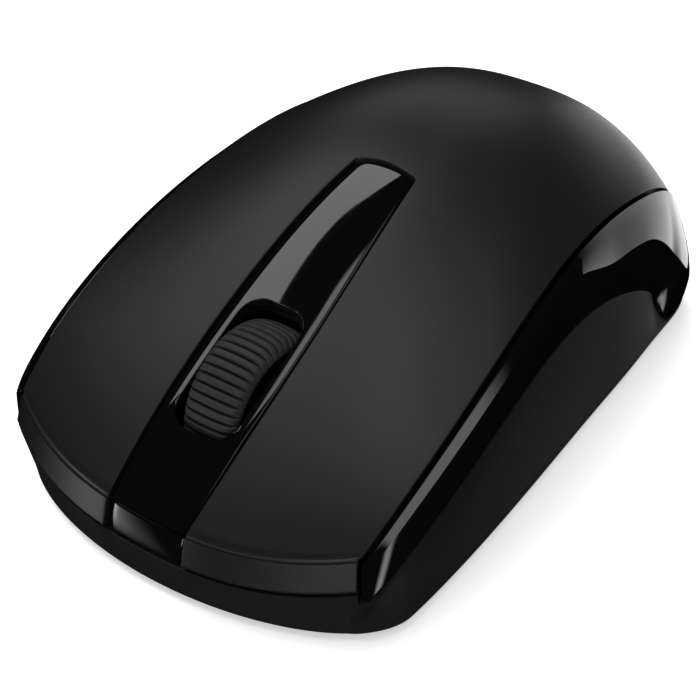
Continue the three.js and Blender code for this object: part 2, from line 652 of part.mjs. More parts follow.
// The hub carries the axle and the ring of slots that the wheel's light beam counts.
function hub() {
  const disc = new THREE.Shape();
  disc.absarc(0, 0, HUB.radius, 0, 2 * Math.PI);
  for (let i = 0; i < HUB.slots; i++) {
    const from = ((i + 0.25) * 2 * Math.PI) / HUB.slots;
    const to = ((i + 0.75) * 2 * Math.PI) / HUB.slots;
    const hole = new THREE.Path();
    hole.moveTo(HUB.slotIn * Math.cos(from), HUB.slotIn * Math.sin(from));
    hole.lineTo(HUB.slotOut * Math.cos(from), HUB.slotOut * Math.sin(from));
    hole.lineTo(HUB.slotOut * Math.cos(to), HUB.slotOut * Math.sin(to));
    hole.lineTo(HUB.slotIn * Math.cos(to), HUB.slotIn * Math.sin(to));
    disc.holes.push(hole);
  }
  const ring = slab(disc, -HUB.halfWidth, HUB.halfWidth, 20);
  const boss = post(0, 0, -HUB.halfWidth - 1.8, HUB.halfWidth + 1.8, HUB.boss, 16);
  const axle = post(0, 0, -HUB.length / 2, HUB.length / 2, WHEEL.axle, 16);
  return join(ring, boss, axle).rotateY(Math.PI / 2);
}
// A frame round the wheel with two towers that hold the axle in open notches.
function carriage() {
  const { inner, arm, front, rear, low, high, tower } = CARRIAGE;
  const notch = WHEEL.axle + 0.15;
  const half = 3.2;
  const profile = [
    [front, low], [rear, low], [rear, high], [WHEEL.y + half + 1.5, high], [WHEEL.y + half, tower],
    [WHEEL.y + notch, tower],
  ];
  for (let i = 0; i <= 6; i++) {
    const a = (-i * Math.PI) / 6;
    profile.push([WHEEL.y + notch * Math.cos(a), WHEEL.z + notch * Math.sin(a)]);
  }
  profile.push([WHEEL.y - notch, tower], [WHEEL.y - half, tower], [WHEEL.y - half - 1.5, high], [front, high]);
  const arms = [plateAlongX(profile, inner, inner + arm), plateAlongX(profile, -inner - arm, -inner)];
  const bridges = [[front, front + 1.4], [rear - 1.4, rear]].map(([a, b]) =>
    box(-inner - 0.4, inner + 0.4, a, b, low, high));
  return join(arms[0], arms[1], ...bridges);
}
// A bent wire clipped beside the hub, whose tip gives the wheel its steps.
function detentSpring() {
  const x = -3.9;
  const path = [
    vec(x, CARRIAGE.rear - 1.9, 12), vec(x, CARRIAGE.rear - 1.9, 16), vec(x, CARRIAGE.rear - 2.4, 20.2),
    vec(x, CARRIAGE.rear - 3.4, 21.2), vec(x, CARRIAGE.rear - 4.2, 22.6),
  ];
  return wire(path, 0.25, 14);
}

// ---------------------------------------------------------------- board and electronics

function mainBoard() {
  const { halfWidth, front, rear, bottom, top } = BOARD;
  const shape = roundedRectangle(-halfWidth, halfWidth, front, rear, 2.5);
  const holes = [
    box(-BOARD_SLOT.halfWidth, BOARD_SLOT.halfWidth, BOARD_SLOT.front, BOARD_SLOT.rear, 0, 20),
    box(-2.5, 2.5, SENSOR.y - 3, SENSOR.y + 3, 0, 20),
    post(BOARD_SCREW.x, BOARD_SCREW.y, 0, 20, BOARD_SCREW.shaft + GAP, 12),
    post(-BOARD_SCREW.x, BOARD_SCREW.y, 0, 20, BOARD_SCREW.shaft + GAP, 12),
  ];
  return cut(slab(shape, bottom, top, 3), ...holes);
}
function microswitch() {
  const { x, y, width, length, top } = SWITCH;
  const body = box(x - width / 2, x + width / 2, y - length / 2, y + length / 2, PARTS_Z, top);
  const well = post(x, PLUNGER.y, top - 2.2, top + 1, PLUNGER.radius + GAP, 12);
  return cut(body, well);
}
const microswitchPlunger = () => post(SWITCH.x, PLUNGER.y, SWITCH.top - 1.3, PLUNGER.top, PLUNGER.radius, 12);
function middleSwitch() {
  const { y, size, top } = MIDDLE_SWITCH;
  const body = box(-size / 2, size / 2, y - 1.8, y + size / 2, PARTS_Z, top);
  return cut(body, post(0, y, top - 1.4, top + 1, 1.0 + GAP, 12));
}
const middlePlunger = () => post(0, MIDDLE_SWITCH.y, MIDDLE_SWITCH.top - 0.7, MIDDLE_SWITCH.plunger, 1.0, 12);
function sensorChip() {
  const { y, width, length, height } = SENSOR;
  return box(-width / 2, width / 2, y - length / 2, y + length / 2, PARTS_Z, PARTS_Z + height);
}
// The lens plate under the board, with a round boss that looks out of the case's window.
function sensorLens() {
  const plate = box(-LENS.halfWidth, LENS.halfWidth, LENS.front, LENS.rear, BASE.floorTop + GAP, BOARD.bottom - GAP);
  return join(plate, post(0, SENSOR.y, 1.5, BASE.floorTop + 1, LENS.boss, 20));
}
// An upright light package on two legs, facing the wheel.
function beamPackage(side) {
  const { x, y, size, depth, bodyZ, top } = IR;
  const body = box(x - size / 2, x + size / 2, y - depth / 2, y + depth / 2, bodyZ, top);
  const legs = [-1.2, 1.2].map((d) => box(x - 0.25, x + 0.25, y + d - 0.25, y + d + 0.25, PARTS_Z, bodyZ + 0.5));
  const dome = new THREE.SphereGeometry(1.1, 12, 8).translate(x - size / 2, y, WHEEL.z);
  const whole = join(body, ...legs, dome);
  return side > 0 ? whole : mirrorX(whole);
}

// ---------------------------------------------------------------- battery, contacts and receiver

function cell() {
  const { radius, front, rear, nub, nubRadius, x, z } = CELL;
  const profile = [
    [0, front - nub], [nubRadius, front - nub], [nubRadius, front], [radius - 0.5, front],
    [radius, front + 0.5], [radius, rear - 0.5], [radius - 0.5, rear], [0, rear],
  ];
  const points = profile.map(([r, y]) => new THREE.Vector2(r, y));
  return new THREE.LatheGeometry(points, 24).translate(x, 0, z);
}
function contactPlate(y) {
  const { thickness, halfWidth, low, high } = CONTACT;
  return box(CELL.x - halfWidth, CELL.x + halfWidth, y, y + thickness, low, high);
}
function negativeContact() {
  const turns = 3;
  const from = CELL.rear + 0.35;
  const to = CONTACT.rear + 0.15;
  const points = fractions(turns * 10).map((f) => {
    const a = f * turns * 2 * Math.PI;
    const r = lerp(1.7, 3.4, f);
    return vec(CELL.x + r * Math.cos(a), lerp(from + 0.3, to, f), CELL.z + r * Math.sin(a));
  });
  return join(contactPlate(CONTACT.rear), wire(points, 0.3, turns * 12));
}
function receiverCap() {
  const { x, width, low, height, split, rear } = RECEIVER;
  const shape = roundedRectangle(x - width / 2, x + width / 2, split + GAP, rear, 1.8);
  return slab(shape, low, low + height, 4);
}
// The hollow metal plug, open towards the front.
function receiverPlug() {
  const { x, low, height, plugFront, split } = RECEIVER;
  const middle = low + height / 2;
  const sleeve = box(x - 6, x + 6, plugFront, split, middle - 2.25, middle + 2.25);
  const mouth = box(x - 5.6, x + 5.6, plugFront - 1, split - 2, middle - 0.1, middle + 1.85);
  return cut(sleeve, mouth);
}

// ---------------------------------------------------------------- switch, feet and screws

function sliderKnob() {
  const { x, y, width, length } = SLIDER;
  const stem = box(x - width / 2, x + width / 2, y - length / 2, y + length / 2, 0.65, BASE.floorTop + 0.6);
  const grooves = [-0.9, 0, 0.9].map((d) => box(x - width, x + width, y + d - 0.2, y + d + 0.2, 0, 0.95));
  return cut(stem, ...grooves);
}
function sliderBody() {
  const { x, y, travel } = SLIDER;
  return box(x - 2.6, x + 2.6, y - 3.2, y + 3.2 + travel, BASE.floorTop + 0.9, BOARD.bottom - GAP);
}
function foot({ width, length }) {
  const radius = Math.min(width, length) / 2 - 0.1;
  return slab(roundedRectangle(-width / 2, width / 2, -length / 2, length / 2, radius), 0, FOOT_THICKNESS, 6);
}
// A screw with its head at `seat` and its tip at `tip`, along Z, and a cross-less round recess.
function screw(head, shaft, headFrom, seat, tip) {
  const up = Math.sign(tip - seat);
  const profile = [
    [0, headFrom + up * 0.5], [head * 0.35, headFrom + up * 0.5], [head * 0.45, headFrom],
    [head * 0.85, headFrom], [head, headFrom + up * 0.25], [head, seat], [shaft, seat],
    [shaft, tip - up * 0.8], [shaft * 0.4, tip], [0, tip],
  ];
  const points = profile.map(([r, z]) => new THREE.Vector2(r, z));
  return fixWinding(new THREE.LatheGeometry(points, 16).rotateX(Math.PI / 2));
}
// Makes a closed geometry's faces point outward, whichever way its profile ran.
function fixWinding(geometry) {
  geometry.deleteAttribute('normal');
  geometry.deleteAttribute('uv');
  const merged = mergeVertices(geometry, 1e-4);
  const corners = merged.index.array;
  const position = merged.attributes.position;
  const points = Array.from({ length: position.count }, (_, i) => vec().fromBufferAttribute(position, i));
  const triangles = Array.from({ length: corners.length / 3 }, (_, i) => [...corners.slice(3 * i, 3 * i + 3)]);
  return solidFrom(points, triangles);
}

// ---------------------------------------------------------------- assembly

const mouse = new THREE.Group();
mouse.position.set(0, ORIGIN_SHIFT, 0);

function place(parent, name, geometry, look, x = 0, y = 0, z = 0, turn = 0) {
  const mesh = new THREE.Mesh(fixWinding(geometry), new THREE.MeshStandardMaterial(look));
  mesh.name = name;
  mesh.position.set(x, y, z);
  mesh.rotation.z = turn;
  parent.add(mesh);
}

place(mouse, 'palm_cover', palmCover(), MATTE_BLACK);
place(mouse, 'left_button', button(1), MATTE_BLACK);
place(mouse, 'right_button', button(-1), MATTE_BLACK);
place(mouse, 'center_strip', centerStrip(), GLOSS_BLACK);
place(mouse, 'left_side_trim', sideTrim(1), GLOSS_BLACK);
place(mouse, 'right_side_trim', sideTrim(-1), GLOSS_BLACK);
place(mouse, 'lower_case', lowerCase(), CASE_BLACK);
place(mouse, 'battery_door', batteryDoor(), CASE_BLACK);
for (const pad of FEET) place(mouse, pad.name, foot(pad), GLIDE, pad.x, pad.y, 0, pad.turn);

place(mouse, 'wheel_carriage', carriage(), INNER_BLACK);
place(mouse, 'detent_spring', detentSpring(), SPRING_STEEL);
const wheel = new THREE.Group();
wheel.position.set(0, WHEEL.y, WHEEL.z);
mouse.add(wheel);
place(wheel, 'wheel_tyre', tyre(), RUBBER);
place(wheel, 'wheel_hub', hub(), INNER_BLACK);

place(mouse, 'main_board', mainBoard(), BOARD_GREEN);
place(mouse, 'left_microswitch', microswitch(), CHIP);
place(mouse, 'right_microswitch', mirrorX(fixWinding(microswitch())), CHIP);
place(mouse, 'left_plunger', microswitchPlunger(), CREAM);
place(mouse, 'right_plunger', mirrorX(fixWinding(microswitchPlunger())), CREAM);
place(mouse, 'middle_switch', middleSwitch(), CHIP);
place(mouse, 'middle_plunger', middlePlunger(), CREAM);
place(mouse, 'optical_sensor', sensorChip(), CHIP);
place(mouse, 'sensor_lens', sensorLens(), CLEAR);
place(mouse, 'tracking_light', box(-1.5, 1.5, -18.6, -16.6, PARTS_Z, PARTS_Z + 1.8), CLEAR);
place(mouse, 'beam_emitter', beamPackage(1), IR_DARK);
place(mouse, 'beam_receiver', beamPackage(-1), IR_DARK);
place(mouse, 'radio_chip', box(-15.5, -10.5, -13, -8, PARTS_Z, PARTS_Z + 0.9), CHIP);
place(mouse, 'crystal', slab(roundedRectangle(-18.3, -14.8, -22.5, -14.5, 1.7), PARTS_Z, PARTS_Z + 3.4), STEEL);
place(mouse, 'capacitor', post(14, -12, PARTS_Z, PARTS_Z + 7, 2.5, 20), CELL_WRAP);

place(mouse, 'battery_cell', cell(), CELL_WRAP);
place(mouse, 'positive_contact', contactPlate(CONTACT.front), STEEL);
place(mouse, 'negative_contact', negativeContact(), SPRING_STEEL);
place(mouse, 'receiver_cap', receiverCap(), INNER_BLACK);
place(mouse, 'receiver_plug', receiverPlug(), STEEL);

place(mouse, 'power_slider', sliderKnob(), CREAM);
place(mouse, 'power_switch_body', sliderBody(), CHIP);
for (const [name, side] of [['left', 1], ['right', -1]]) {
  const { x, y, head, shaft, seat, tip } = CASE_SCREW;
  place(mouse, `${name}_case_screw`, screw(head, shaft, seat - GAP - 1.4, seat - GAP, tip), STEEL, side * x, y);
  const top = PARTS_Z + 1.2;
  place(
    mouse, `${name}_board_screw`, screw(BOARD_SCREW.head, BOARD_SCREW.shaft, top, PARTS_Z, BASE.floorTop + 0.2),
    STEEL, side * BOARD_SCREW.x, BOARD_SCREW.y,
  );
}

export default mouse;
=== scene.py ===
"""The looks of a compact wireless mouse, built in the frame of its CAD model.

Hull shapes are worked out in millimetres, in the coordinates of the hull, and go to metres at the end.
-Y is the button end, +Y the palm end, +X the thumb side, +Z up.
"""
import json
import math

import bmesh
import bpy
import numpy as np
from mathutils import Matrix, Vector


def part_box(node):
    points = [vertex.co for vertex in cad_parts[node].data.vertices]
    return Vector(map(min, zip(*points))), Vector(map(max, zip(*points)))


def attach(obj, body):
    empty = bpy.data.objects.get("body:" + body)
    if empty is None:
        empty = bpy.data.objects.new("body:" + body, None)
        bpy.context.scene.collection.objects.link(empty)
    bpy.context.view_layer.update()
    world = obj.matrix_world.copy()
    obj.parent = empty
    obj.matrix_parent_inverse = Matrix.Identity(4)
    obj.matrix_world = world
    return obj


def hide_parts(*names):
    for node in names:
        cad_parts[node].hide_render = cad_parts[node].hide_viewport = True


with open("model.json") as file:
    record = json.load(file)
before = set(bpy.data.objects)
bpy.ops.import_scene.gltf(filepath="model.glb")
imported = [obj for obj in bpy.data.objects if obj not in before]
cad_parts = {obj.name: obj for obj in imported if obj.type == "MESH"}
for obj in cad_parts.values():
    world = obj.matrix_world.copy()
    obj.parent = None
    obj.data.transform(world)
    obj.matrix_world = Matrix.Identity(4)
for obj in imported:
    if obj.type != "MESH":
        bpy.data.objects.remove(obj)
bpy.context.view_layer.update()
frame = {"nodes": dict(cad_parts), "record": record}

# ---------------- driving dimensions, millimetres

MM = 0.001
ORIGIN_SHIFT = -0.4                      # along Y, from hull coordinates to the frame
SIDES = {"left": 1, "right": -1}

# Lists of numbers are control values of a clamped cubic B-spline from HULL_FRONT to HULL_REAR.
HULL_FRONT = -50
HULL_REAR = 50
COVER_HALF_WIDTH = [24.7, 27.2, 28.5, 25.9, 24.3, 25.7, 28.2]
COVER_REAR_ROUND = (7, 2.95)
SEAM_HEIGHT = [6.7, 14.8, 23.9, 32.1, 31.7, 21.6, 6.4]
CREST_HEIGHT = [9.9, 16.3, 25.9, 38.0, 39.7, 33.2, 22.8]
CREST_REAR_ROUND = (18.5, 2.44)
CROWN = 2.6
COVER_WALL = 1.7
WALL_SLANT = 1.08                        # upright height of a wall of thickness 1 under the sloping deck

LIP_HALF_WIDTH = 26.5
LIP_Y = -48.95
LIP_SWEEP = 6.7
LIP_POWER = 2.4
LIP_OUT = 0.96
LIP_HEIGHT = 3.9
CORNER_Y = LIP_Y + LIP_SWEEP
BUTTON_ROOT = 0.6
SLIT = 0.35
GAP = 0.3
LIP_GAP = 0.8
EDGE_ROUND = 0.2                         # rounding of the cover's edges

STRIP_HALF_WIDTH = (5.7, 7.6, 4.35)      # a quadratic Bezier curve from the nose to the rear end
STRIP_REAR_Y = -0.75
STRIP_REAR_BOW = 0.8
STRIP_CREASE_Y = -38.2
STRIP_SINK = (0.55, 0.08, 0.35, 16)      # depth at the nose, at the crease, behind it; y run of the last
STRIP_ROUND = 0.25
STRIP_ROLL_WIDTH = 1.3                   # the soft roll-off along the strip's sides
STRIP_ROLL_DROP = 0.16
NOSE_BULGE = 0.22
STRIP_WALL = 1.5
STRIP_CORNER = 0.9
SLOT_FRONT = -39.1
SLOT_REAR = -22.2
SLOT_HALF_WIDTH = 4.75
SLOT_CORNER = 3.0

TRIM_LOWER_OUT = [1.4, 1.7, 1.0, 0.3, 0.9]
TRIM_LOWER_HEIGHT = [2.8, 8.1, 15.9, 22.0, 16.8, 2.2, 2.2]
TRIM_DIVE = (30, 37.5, 2.2)              # from y to y the lower edge dives to this height
TRIM_MEETS_BASE = (8, 2.4)
TRIM_BULGE = (1.3, 12, 40, 49)           # height, and the y where it starts, is full and ends
TRIM_TIP = (0.35, 4.0)                   # reach at the front corner, and the length over which it fills out
TRIM_WALL = 1.2

BASE_HALF_WIDTH = [28.2, 29.7, 29.8, 27.7, 25.4, 25.4, 33.9]
BASE_FRONT_END = -49.1
BASE_FRONT_ROUND = (-35.2, 2.0)
BASE_REAR_END = 50.0
BASE_REAR_ROUND = (9.75, 3.6)
BASE_BOTTOM = 0.8
BASE_EDGE = 1.9
BASE_CHAMFER = 0.9
BASE_WALL = 1.8
BASE_FLOOR = 2.5
WAIST_DEPTH = 1.0
WAIST_Y = -12
WAIST_SPREAD = 26
FRONT_TAPER = 0.945
CASE_SET_BACK = 0.45

BAY = (14.8, -4.6, 45.8)                 # half width, front, rear
BAY_CORNER = 4
APERTURE = (3.2, -14.6, -8.4)
SLIDER = (-14, -13.5, 2, 3, 3.6)         # x, y, travel, width, length
SCREW_X = 20
SCREW_Y = 5
SCREW_HEAD = 2.1
SCREW_SEAT = 4.3
BOARD_SCREW = (17.5, -25, 5.3)           # x, y, top of its post
POST_TOP = 7.0
BAY_WALL = (1.2, 11)                     # thickness, top
INSIDE_BOTTOM = BASE_FLOOR - 0.6         # posts and walls start inside the floor
CELL = (-8, 8.1, 5.25, -2.2, 41.3)       # x, z, radius, front, rear
FEET = {"front": (15, -38.5, 13, 6, 0.42), "rear": (19, 34, 5, 17, 0.04)}
# each foot: x, y, width, length and turn in radians on the left; mirrored on the right
SWITCH_RIB = (13.5, -37.5, 3, 14.4)      # x, y, width, foot
SAG = 0.03                               # the CAD's facets lie this far inside the curved deck

WHEEL_Y = -27.6
WHEEL_Z = 14.8
WHEEL_RADIUS = 10.5
WHEEL_HALF_WIDTH = 4.0
WHEEL_RIBS = 52
RIB_DEPTH = 0.95

# ---------------- curves of the hull


def spline(values, s):
    """Clamped uniform cubic B-spline, s from 0 to 1, on arrays."""
    values = np.asarray(values, float)
    spans = len(values) - 3
    t = np.clip(np.asarray(s, float), 0, 1) * spans
    k = np.minimum(np.floor(t).astype(int), spans - 1) + 3

    def knot(i):
        return np.clip(i - 3, 0, spans)

    d = [values[k - 3 + j] for j in range(4)]
    for level in (1, 2, 3):
        for j in range(3, level - 1, -1):
            low = knot(k - 3 + j)
            high = knot(k + 1 + j - level)
            share = (t - low) / (high - low)
            d[j] = (1 - share) * d[j - 1] + share * d[j]
    return d[3]


def along(values, y):
    return spline(values, (np.asarray(y, float) - HULL_FRONT) / (HULL_REAR - HULL_FRONT))


def round_off(y, start, end, power):
    """1 before start, then a superellipse quarter down to 0 at end."""
    q = np.clip((np.asarray(y, float) - start) / (end - start), 0, 1)
    return np.maximum(1 - q ** power, 0) ** (1 / power)


def seam_half_width(y):
    return along(COVER_HALF_WIDTH, y) * round_off(y, COVER_REAR_ROUND[0], HULL_REAR, COVER_REAR_ROUND[1])


def seam_height(y):
    return along(SEAM_HEIGHT, y)


def base_half_width(y):
    front = round_off(y, BASE_FRONT_ROUND[0], BASE_FRONT_END, BASE_FRONT_ROUND[1])
    rear = round_off(y, BASE_REAR_ROUND[0], BASE_REAR_END, BASE_REAR_ROUND[1])
    return along(BASE_HALF_WIDTH, y) * front * rear


def deck(x, y):
    """Height of the top cover over the plan point (x, y)."""
    low = seam_height(y)
    rise = (along(CREST_HEIGHT, y) - low) * round_off(y, CREST_REAR_ROUND[0], HULL_REAR, CREST_REAR_ROUND[1])
    u = np.minimum(np.abs(x) / np.maximum(seam_half_width(y), 0.01), 1)
    return low + rise * (1 - u ** CROWN) - SAG


def deck_normal(x, y):
    h = 0.02
    y = np.clip(y, HULL_FRONT, HULL_REAR - 0.4)
    edge = seam_half_width(y) - 2 * h
    x = np.clip(x, -edge, edge)
    dx = (deck(x + h, y) - deck(x - h, y)) / (2 * h)
    dy = (deck(x, y + h) - deck(x, y - h)) / (2 * h)
    return unit(np.stack([-dx, -dy, np.ones_like(dx)], -1))


def unit(v):
    return v / np.maximum(np.linalg.norm(v, axis=-1, keepdims=True), 1e-12)


def front_y(x):
    """The crease over the button lips."""
    return LIP_Y + LIP_SWEEP * (np.abs(x) / LIP_HALF_WIDTH) ** LIP_POWER


def front_normal(x):
    slope = (front_y(x + 0.01) - front_y(x - 0.01)) / 0.02
    return unit(np.stack([slope, -np.ones_like(slope), np.zeros_like(slope)], -1))


def strip_half_width(y):
    q = np.clip((y - LIP_Y) / (STRIP_REAR_Y - LIP_Y), 0, 1)
    a, b, c = STRIP_HALF_WIDTH
    return a * (1 - q) ** 2 + 2 * b * q * (1 - q) + c * q * q


def seam_normal(y):
    h = 0.05
    a = np.minimum(y, HULL_REAR - 2 * h) - h
    run = seam_half_width(a + 2 * h) - seam_half_width(a)
    normal = unit(np.stack([np.full_like(run, 2 * h), -run, np.zeros_like(run)], -1))
    normal[np.asarray(y) > HULL_REAR - 1e-6] = (0, 1, 0)
    return normal


def base_reach(y):
    """Distance along the seam's normal from the seam's plan to the case outline, by bisection."""
    out = seam_normal(y)
    start = np.stack([seam_half_width(y), y], -1)
    inside = np.full_like(y, -5.0)
    outside = np.full_like(y, 12.0)
    for _ in range(40):
        middle = (inside + outside) / 2
        p = start + out[:, :2] * middle[:, None]
        within = p[:, 0] < base_half_width(p[:, 1])
        inside = np.where(within, middle, inside)
        outside = np.where(within, outside, middle)
    return inside


def smoothstep(v, start, end):
    t = np.clip((v - start) / (end - start), 0, 1)
    return t * t * (3 - 2 * t)


def trim_low(y):
    """Height of a trim's lower edge."""
    start, end, height = TRIM_DIVE
    share = smoothstep(y, start, end)
    return along(TRIM_LOWER_HEIGHT, y) * (1 - share) + height * share


def trim_lower_out(y):
    """Outward offset of a trim's lower edge from the seam: its own, then the base line's at the rear."""
    share = smoothstep(-trim_low(y), -TRIM_MEETS_BASE[0], -TRIM_MEETS_BASE[1])
    return (1 - share) * along(TRIM_LOWER_OUT, y) + share * base_reach(y)


def side_stations(count, start):
    """y values from start to the rear end, closer together at both ends."""
    i = np.arange(count + 1) / count
    return start + (HULL_REAR - start) * (1 - np.cos(i * math.pi)) / 2


# ---------------- meshes from points


def grid_faces(rows, cols, start=0, wrap=False):
    faces = []
    for r in range(rows - 1):
        for c in range(cols if wrap else cols - 1):
            d = (c + 1) % cols
            a = start + r * cols
            faces.append((a + c, a + d, a + cols + d, a + cols + c))
    return faces


def piece_from(name, points, faces, body, slot, material, sharp=40, merge=0.002):
    """A mesh object from points in hull millimetres, welded, with its faces pointing out."""
    mesh = mesh_from(name, points, faces, merge)
    finish_mesh(mesh, sharp)
    piece = placed(name, mesh)
    mesh.materials.append(material)
    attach(piece, body)
    return piece


def placed(name, data):
    """An object in the scene that shows the data."""
    made = bpy.data.objects.new(name, data)
    bpy.context.scene.collection.objects.link(made)
    return made


def mesh_from(name, points, faces, merge):
    """A welded mesh in metres of the frame, from points in hull millimetres."""
    points = (np.asarray(points, float).reshape(-1, 3) + (0, ORIGIN_SHIFT, 0)) * MM
    mesh = bpy.data.meshes.new(name)
    mesh.from_pydata(points.tolist(), [], faces)
    weld(mesh, merge * MM)
    return mesh


def weld(mesh, distance):
    """Merges near points, drops faces without area and turns the normals outwards."""
    work = bmesh.new()
    work.from_mesh(mesh)
    bmesh.ops.remove_doubles(work, verts=work.verts, dist=distance)
    bmesh.ops.dissolve_degenerate(work, edges=work.edges, dist=distance / 4)
    bmesh.ops.recalc_face_normals(work, faces=work.faces)
    work.to_mesh(mesh)
    work.free()


def finish_mesh(mesh, sharp):
    mesh.shade_smooth()
    mesh.set_sharp_from_angle(angle=math.radians(sharp))


def rows_length(points):
    """Distance of each point of each row from the row's start, along the row."""
    steps = np.linalg.norm(np.diff(points, axis=1), axis=2)
    return np.concatenate([np.zeros((len(points), 1)), np.cumsum(steps, axis=1)], axis=1)


def edge_distance(points):
    """Distance of each point of each row from the nearer end of its row."""
    reach = rows_length(points)
    return np.minimum(reach, reach[:, -1:] - reach)


def round_drop(distance, radius):
    """Depth of a rounded edge at a distance from the edge."""
    q = np.clip(1 - distance / radius, 0, 1)
    return radius * (1 - np.sqrt(1 - q * q))


def shell_solid(outer, inner, open_last_row=False):
    """Points and faces of a sheet with thickness, closed round its edges."""
    rows, cols = outer.shape[:2]
    count = rows * cols
    points = np.concatenate([outer.reshape(-1, 3), inner.reshape(-1, 3)])
    faces = grid_faces(rows, cols)
    faces += [tuple(count + i for i in reversed(face)) for face in grid_faces(rows, cols)]
    grid = np.arange(count).reshape(rows, cols)
    edges = [grid[:, 0], grid[0], grid[:, -1]]
    if not open_last_row:
        edges.append(grid[-1])
    for edge in edges:
        ids = edge.tolist()
        faces += [(a, b, count + b, count + a) for a, b in zip(ids, ids[1:])]
    return points, faces


def joined(*solids):
    """Several (points, faces) as one."""
    points, faces, start = [], [], 0
    for p, f in solids:
        p = np.asarray(p, float).reshape(-1, 3)
        points.append(p)
        faces += [tuple(start + i for i in face) for face in f]
        start += len(p)
    return np.concatenate(points), faces


def mirrored(solid):
    points, faces = solid
    return np.asarray(points) * (-1, 1, 1), [tuple(reversed(face)) for face in faces]


def loft(loops, cap=True):
    """Closed loops of the same number of points, joined in order, with fans over the two ends."""
    loops = np.asarray(loops, float)
    rows, cols = loops.shape[:2]
    faces = grid_faces(rows, cols, wrap=True)
    if cap:
        faces += [tuple(range(cols)), tuple(reversed(range((rows - 1) * cols, rows * cols)))]
    return loops.reshape(-1, 3), faces


def lathe(profile, centre, axis="z", sides=48, cap=True):
    """A profile of (radius, height) turned about an axis through centre."""
    angles = np.arange(sides) * 2 * math.pi / sides
    loops = []
    for radius, height in profile:
        ring = [np.cos(angles) * radius, np.sin(angles) * radius, np.full(sides, height)]
        order = {"z": (0, 1, 2), "x": (2, 0, 1), "y": (1, 2, 0)}[axis]
        loops.append(np.stack([ring[i] for i in order], -1) + centre)
    return loft(loops, cap)


def rounded_rectangle(x0, x1, y0, y1, radius, steps=10):
    """Outline points and outward normals, corner by corner."""
    points, normals = [], []
    corners = [(x1 - radius, y1 - radius, 0), (x0 + radius, y1 - radius, 1),
               (x0 + radius, y0 + radius, 2), (x1 - radius, y0 + radius, 3)]
    for cx, cy, quarter in corners:
        for i in range(steps + 1):
            a = (quarter + i / steps) * math.pi / 2
            points.append((cx + radius * math.cos(a), cy + radius * math.sin(a)))
            normals.append((math.cos(a), math.sin(a)))
    return np.array(points), np.array(normals)


def rounded_plate(outline, normals, z0, z1, radius, steps=4):
    """A flat plate with rounded upper and lower edges."""
    loops = []
    levels = [(z0, 1, True), (z1, -1, False)]
    for z, side, rising in levels:
        turns = [i / steps for i in range(steps + 1)]
        for t in (turns if rising else reversed(turns)):
            a = t * math.pi / 2
            inset = radius * (1 - math.sin(a))
            height = z + side * radius * (1 - math.cos(a))
            xy = outline - normals * inset
            loops.append(np.column_stack([xy, np.full(len(xy), height)]))
    return loft(loops)


def cut(piece, cutters, sharp=40):
    """Takes the cutters' volumes out of a piece and leaves a plain mesh."""
    for points, faces in cutters:
        tool = placed("cutter", mesh_from("cutter", points, faces, 0.001))
        modifier = piece.modifiers.new("cut", "BOOLEAN")
        modifier.operation = "DIFFERENCE"
        modifier.solver = "EXACT"
        modifier.object = tool
        apply_modifiers(piece)
        bpy.data.objects.remove(tool)
    finish_mesh(piece.data, sharp)


def apply_modifiers(piece):
    bpy.context.view_layer.update()
    ready = piece.evaluated_get(bpy.context.evaluated_depsgraph_get())
    mesh = bpy.data.meshes.new_from_object(ready)
    piece.modifiers.clear()
    piece.data = mesh


# ---------------- materials


def material(name, color, roughness, metallic=0.0):
    """A Principled material, with its nodes and links, ready for more."""
    made = bpy.data.materials.new(name)
    made.use_nodes = True
    shader = made.node_tree.nodes["Principled BSDF"]
    shader.inputs["Base Color"].default_value = (*color, 1)
    shader.inputs["Roughness"].default_value = roughness
    shader.inputs["Metallic"].default_value = metallic
    return made, made.node_tree.nodes, made.node_tree.links, shader


def noise(nodes, links, scale, detail=3.0, roughness=0.5):
    """Noise in the object's own coordinates, scale in cells per metre."""
    place = nodes.new("ShaderNodeTexCoord")
    texture = nodes.new("ShaderNodeTexNoise")
    texture.inputs["Scale"].default_value = scale
    texture.inputs["Detail"].default_value = detail
    texture.inputs["Roughness"].default_value = roughness
    links.new(place.outputs["Object"], texture.inputs["Vector"])
    return texture


def spread(nodes, links, source, low, high):
    """Maps 0.3..0.7 of a noise to low..high."""
    ramp = nodes.new("ShaderNodeMapRange")
    ramp.inputs["From Min"].default_value = 0.3
    ramp.inputs["From Max"].default_value = 0.7
    ramp.inputs["To Min"].default_value = low
    ramp.inputs["To Max"].default_value = high
    links.new(source, ramp.inputs["Value"])
    return ramp.outputs["Result"]


def tint(nodes, links, source, dark, light):
    """A colour between dark and light by a 0..1 source."""
    ramp = nodes.new("ShaderNodeValToRGB")
    ramp.color_ramp.elements[0].position = 0.3
    ramp.color_ramp.elements[0].color = (*dark, 1)
    ramp.color_ramp.elements[1].position = 0.7
    ramp.color_ramp.elements[1].color = (*light, 1)
    links.new(source, ramp.inputs["Fac"])
    return ramp.outputs["Color"]


def bump(nodes, links, source, shader, depth, strength=1.0):
    """Bump of a depth in metres."""
    node = nodes.new("ShaderNodeBump")
    node.inputs["Strength"].default_value = strength
    node.inputs["Distance"].default_value = depth
    links.new(source, node.inputs["Height"])
    links.new(node.outputs["Normal"], shader.inputs["Normal"])


def gray(value):
    return (value, value, value * 1.02)


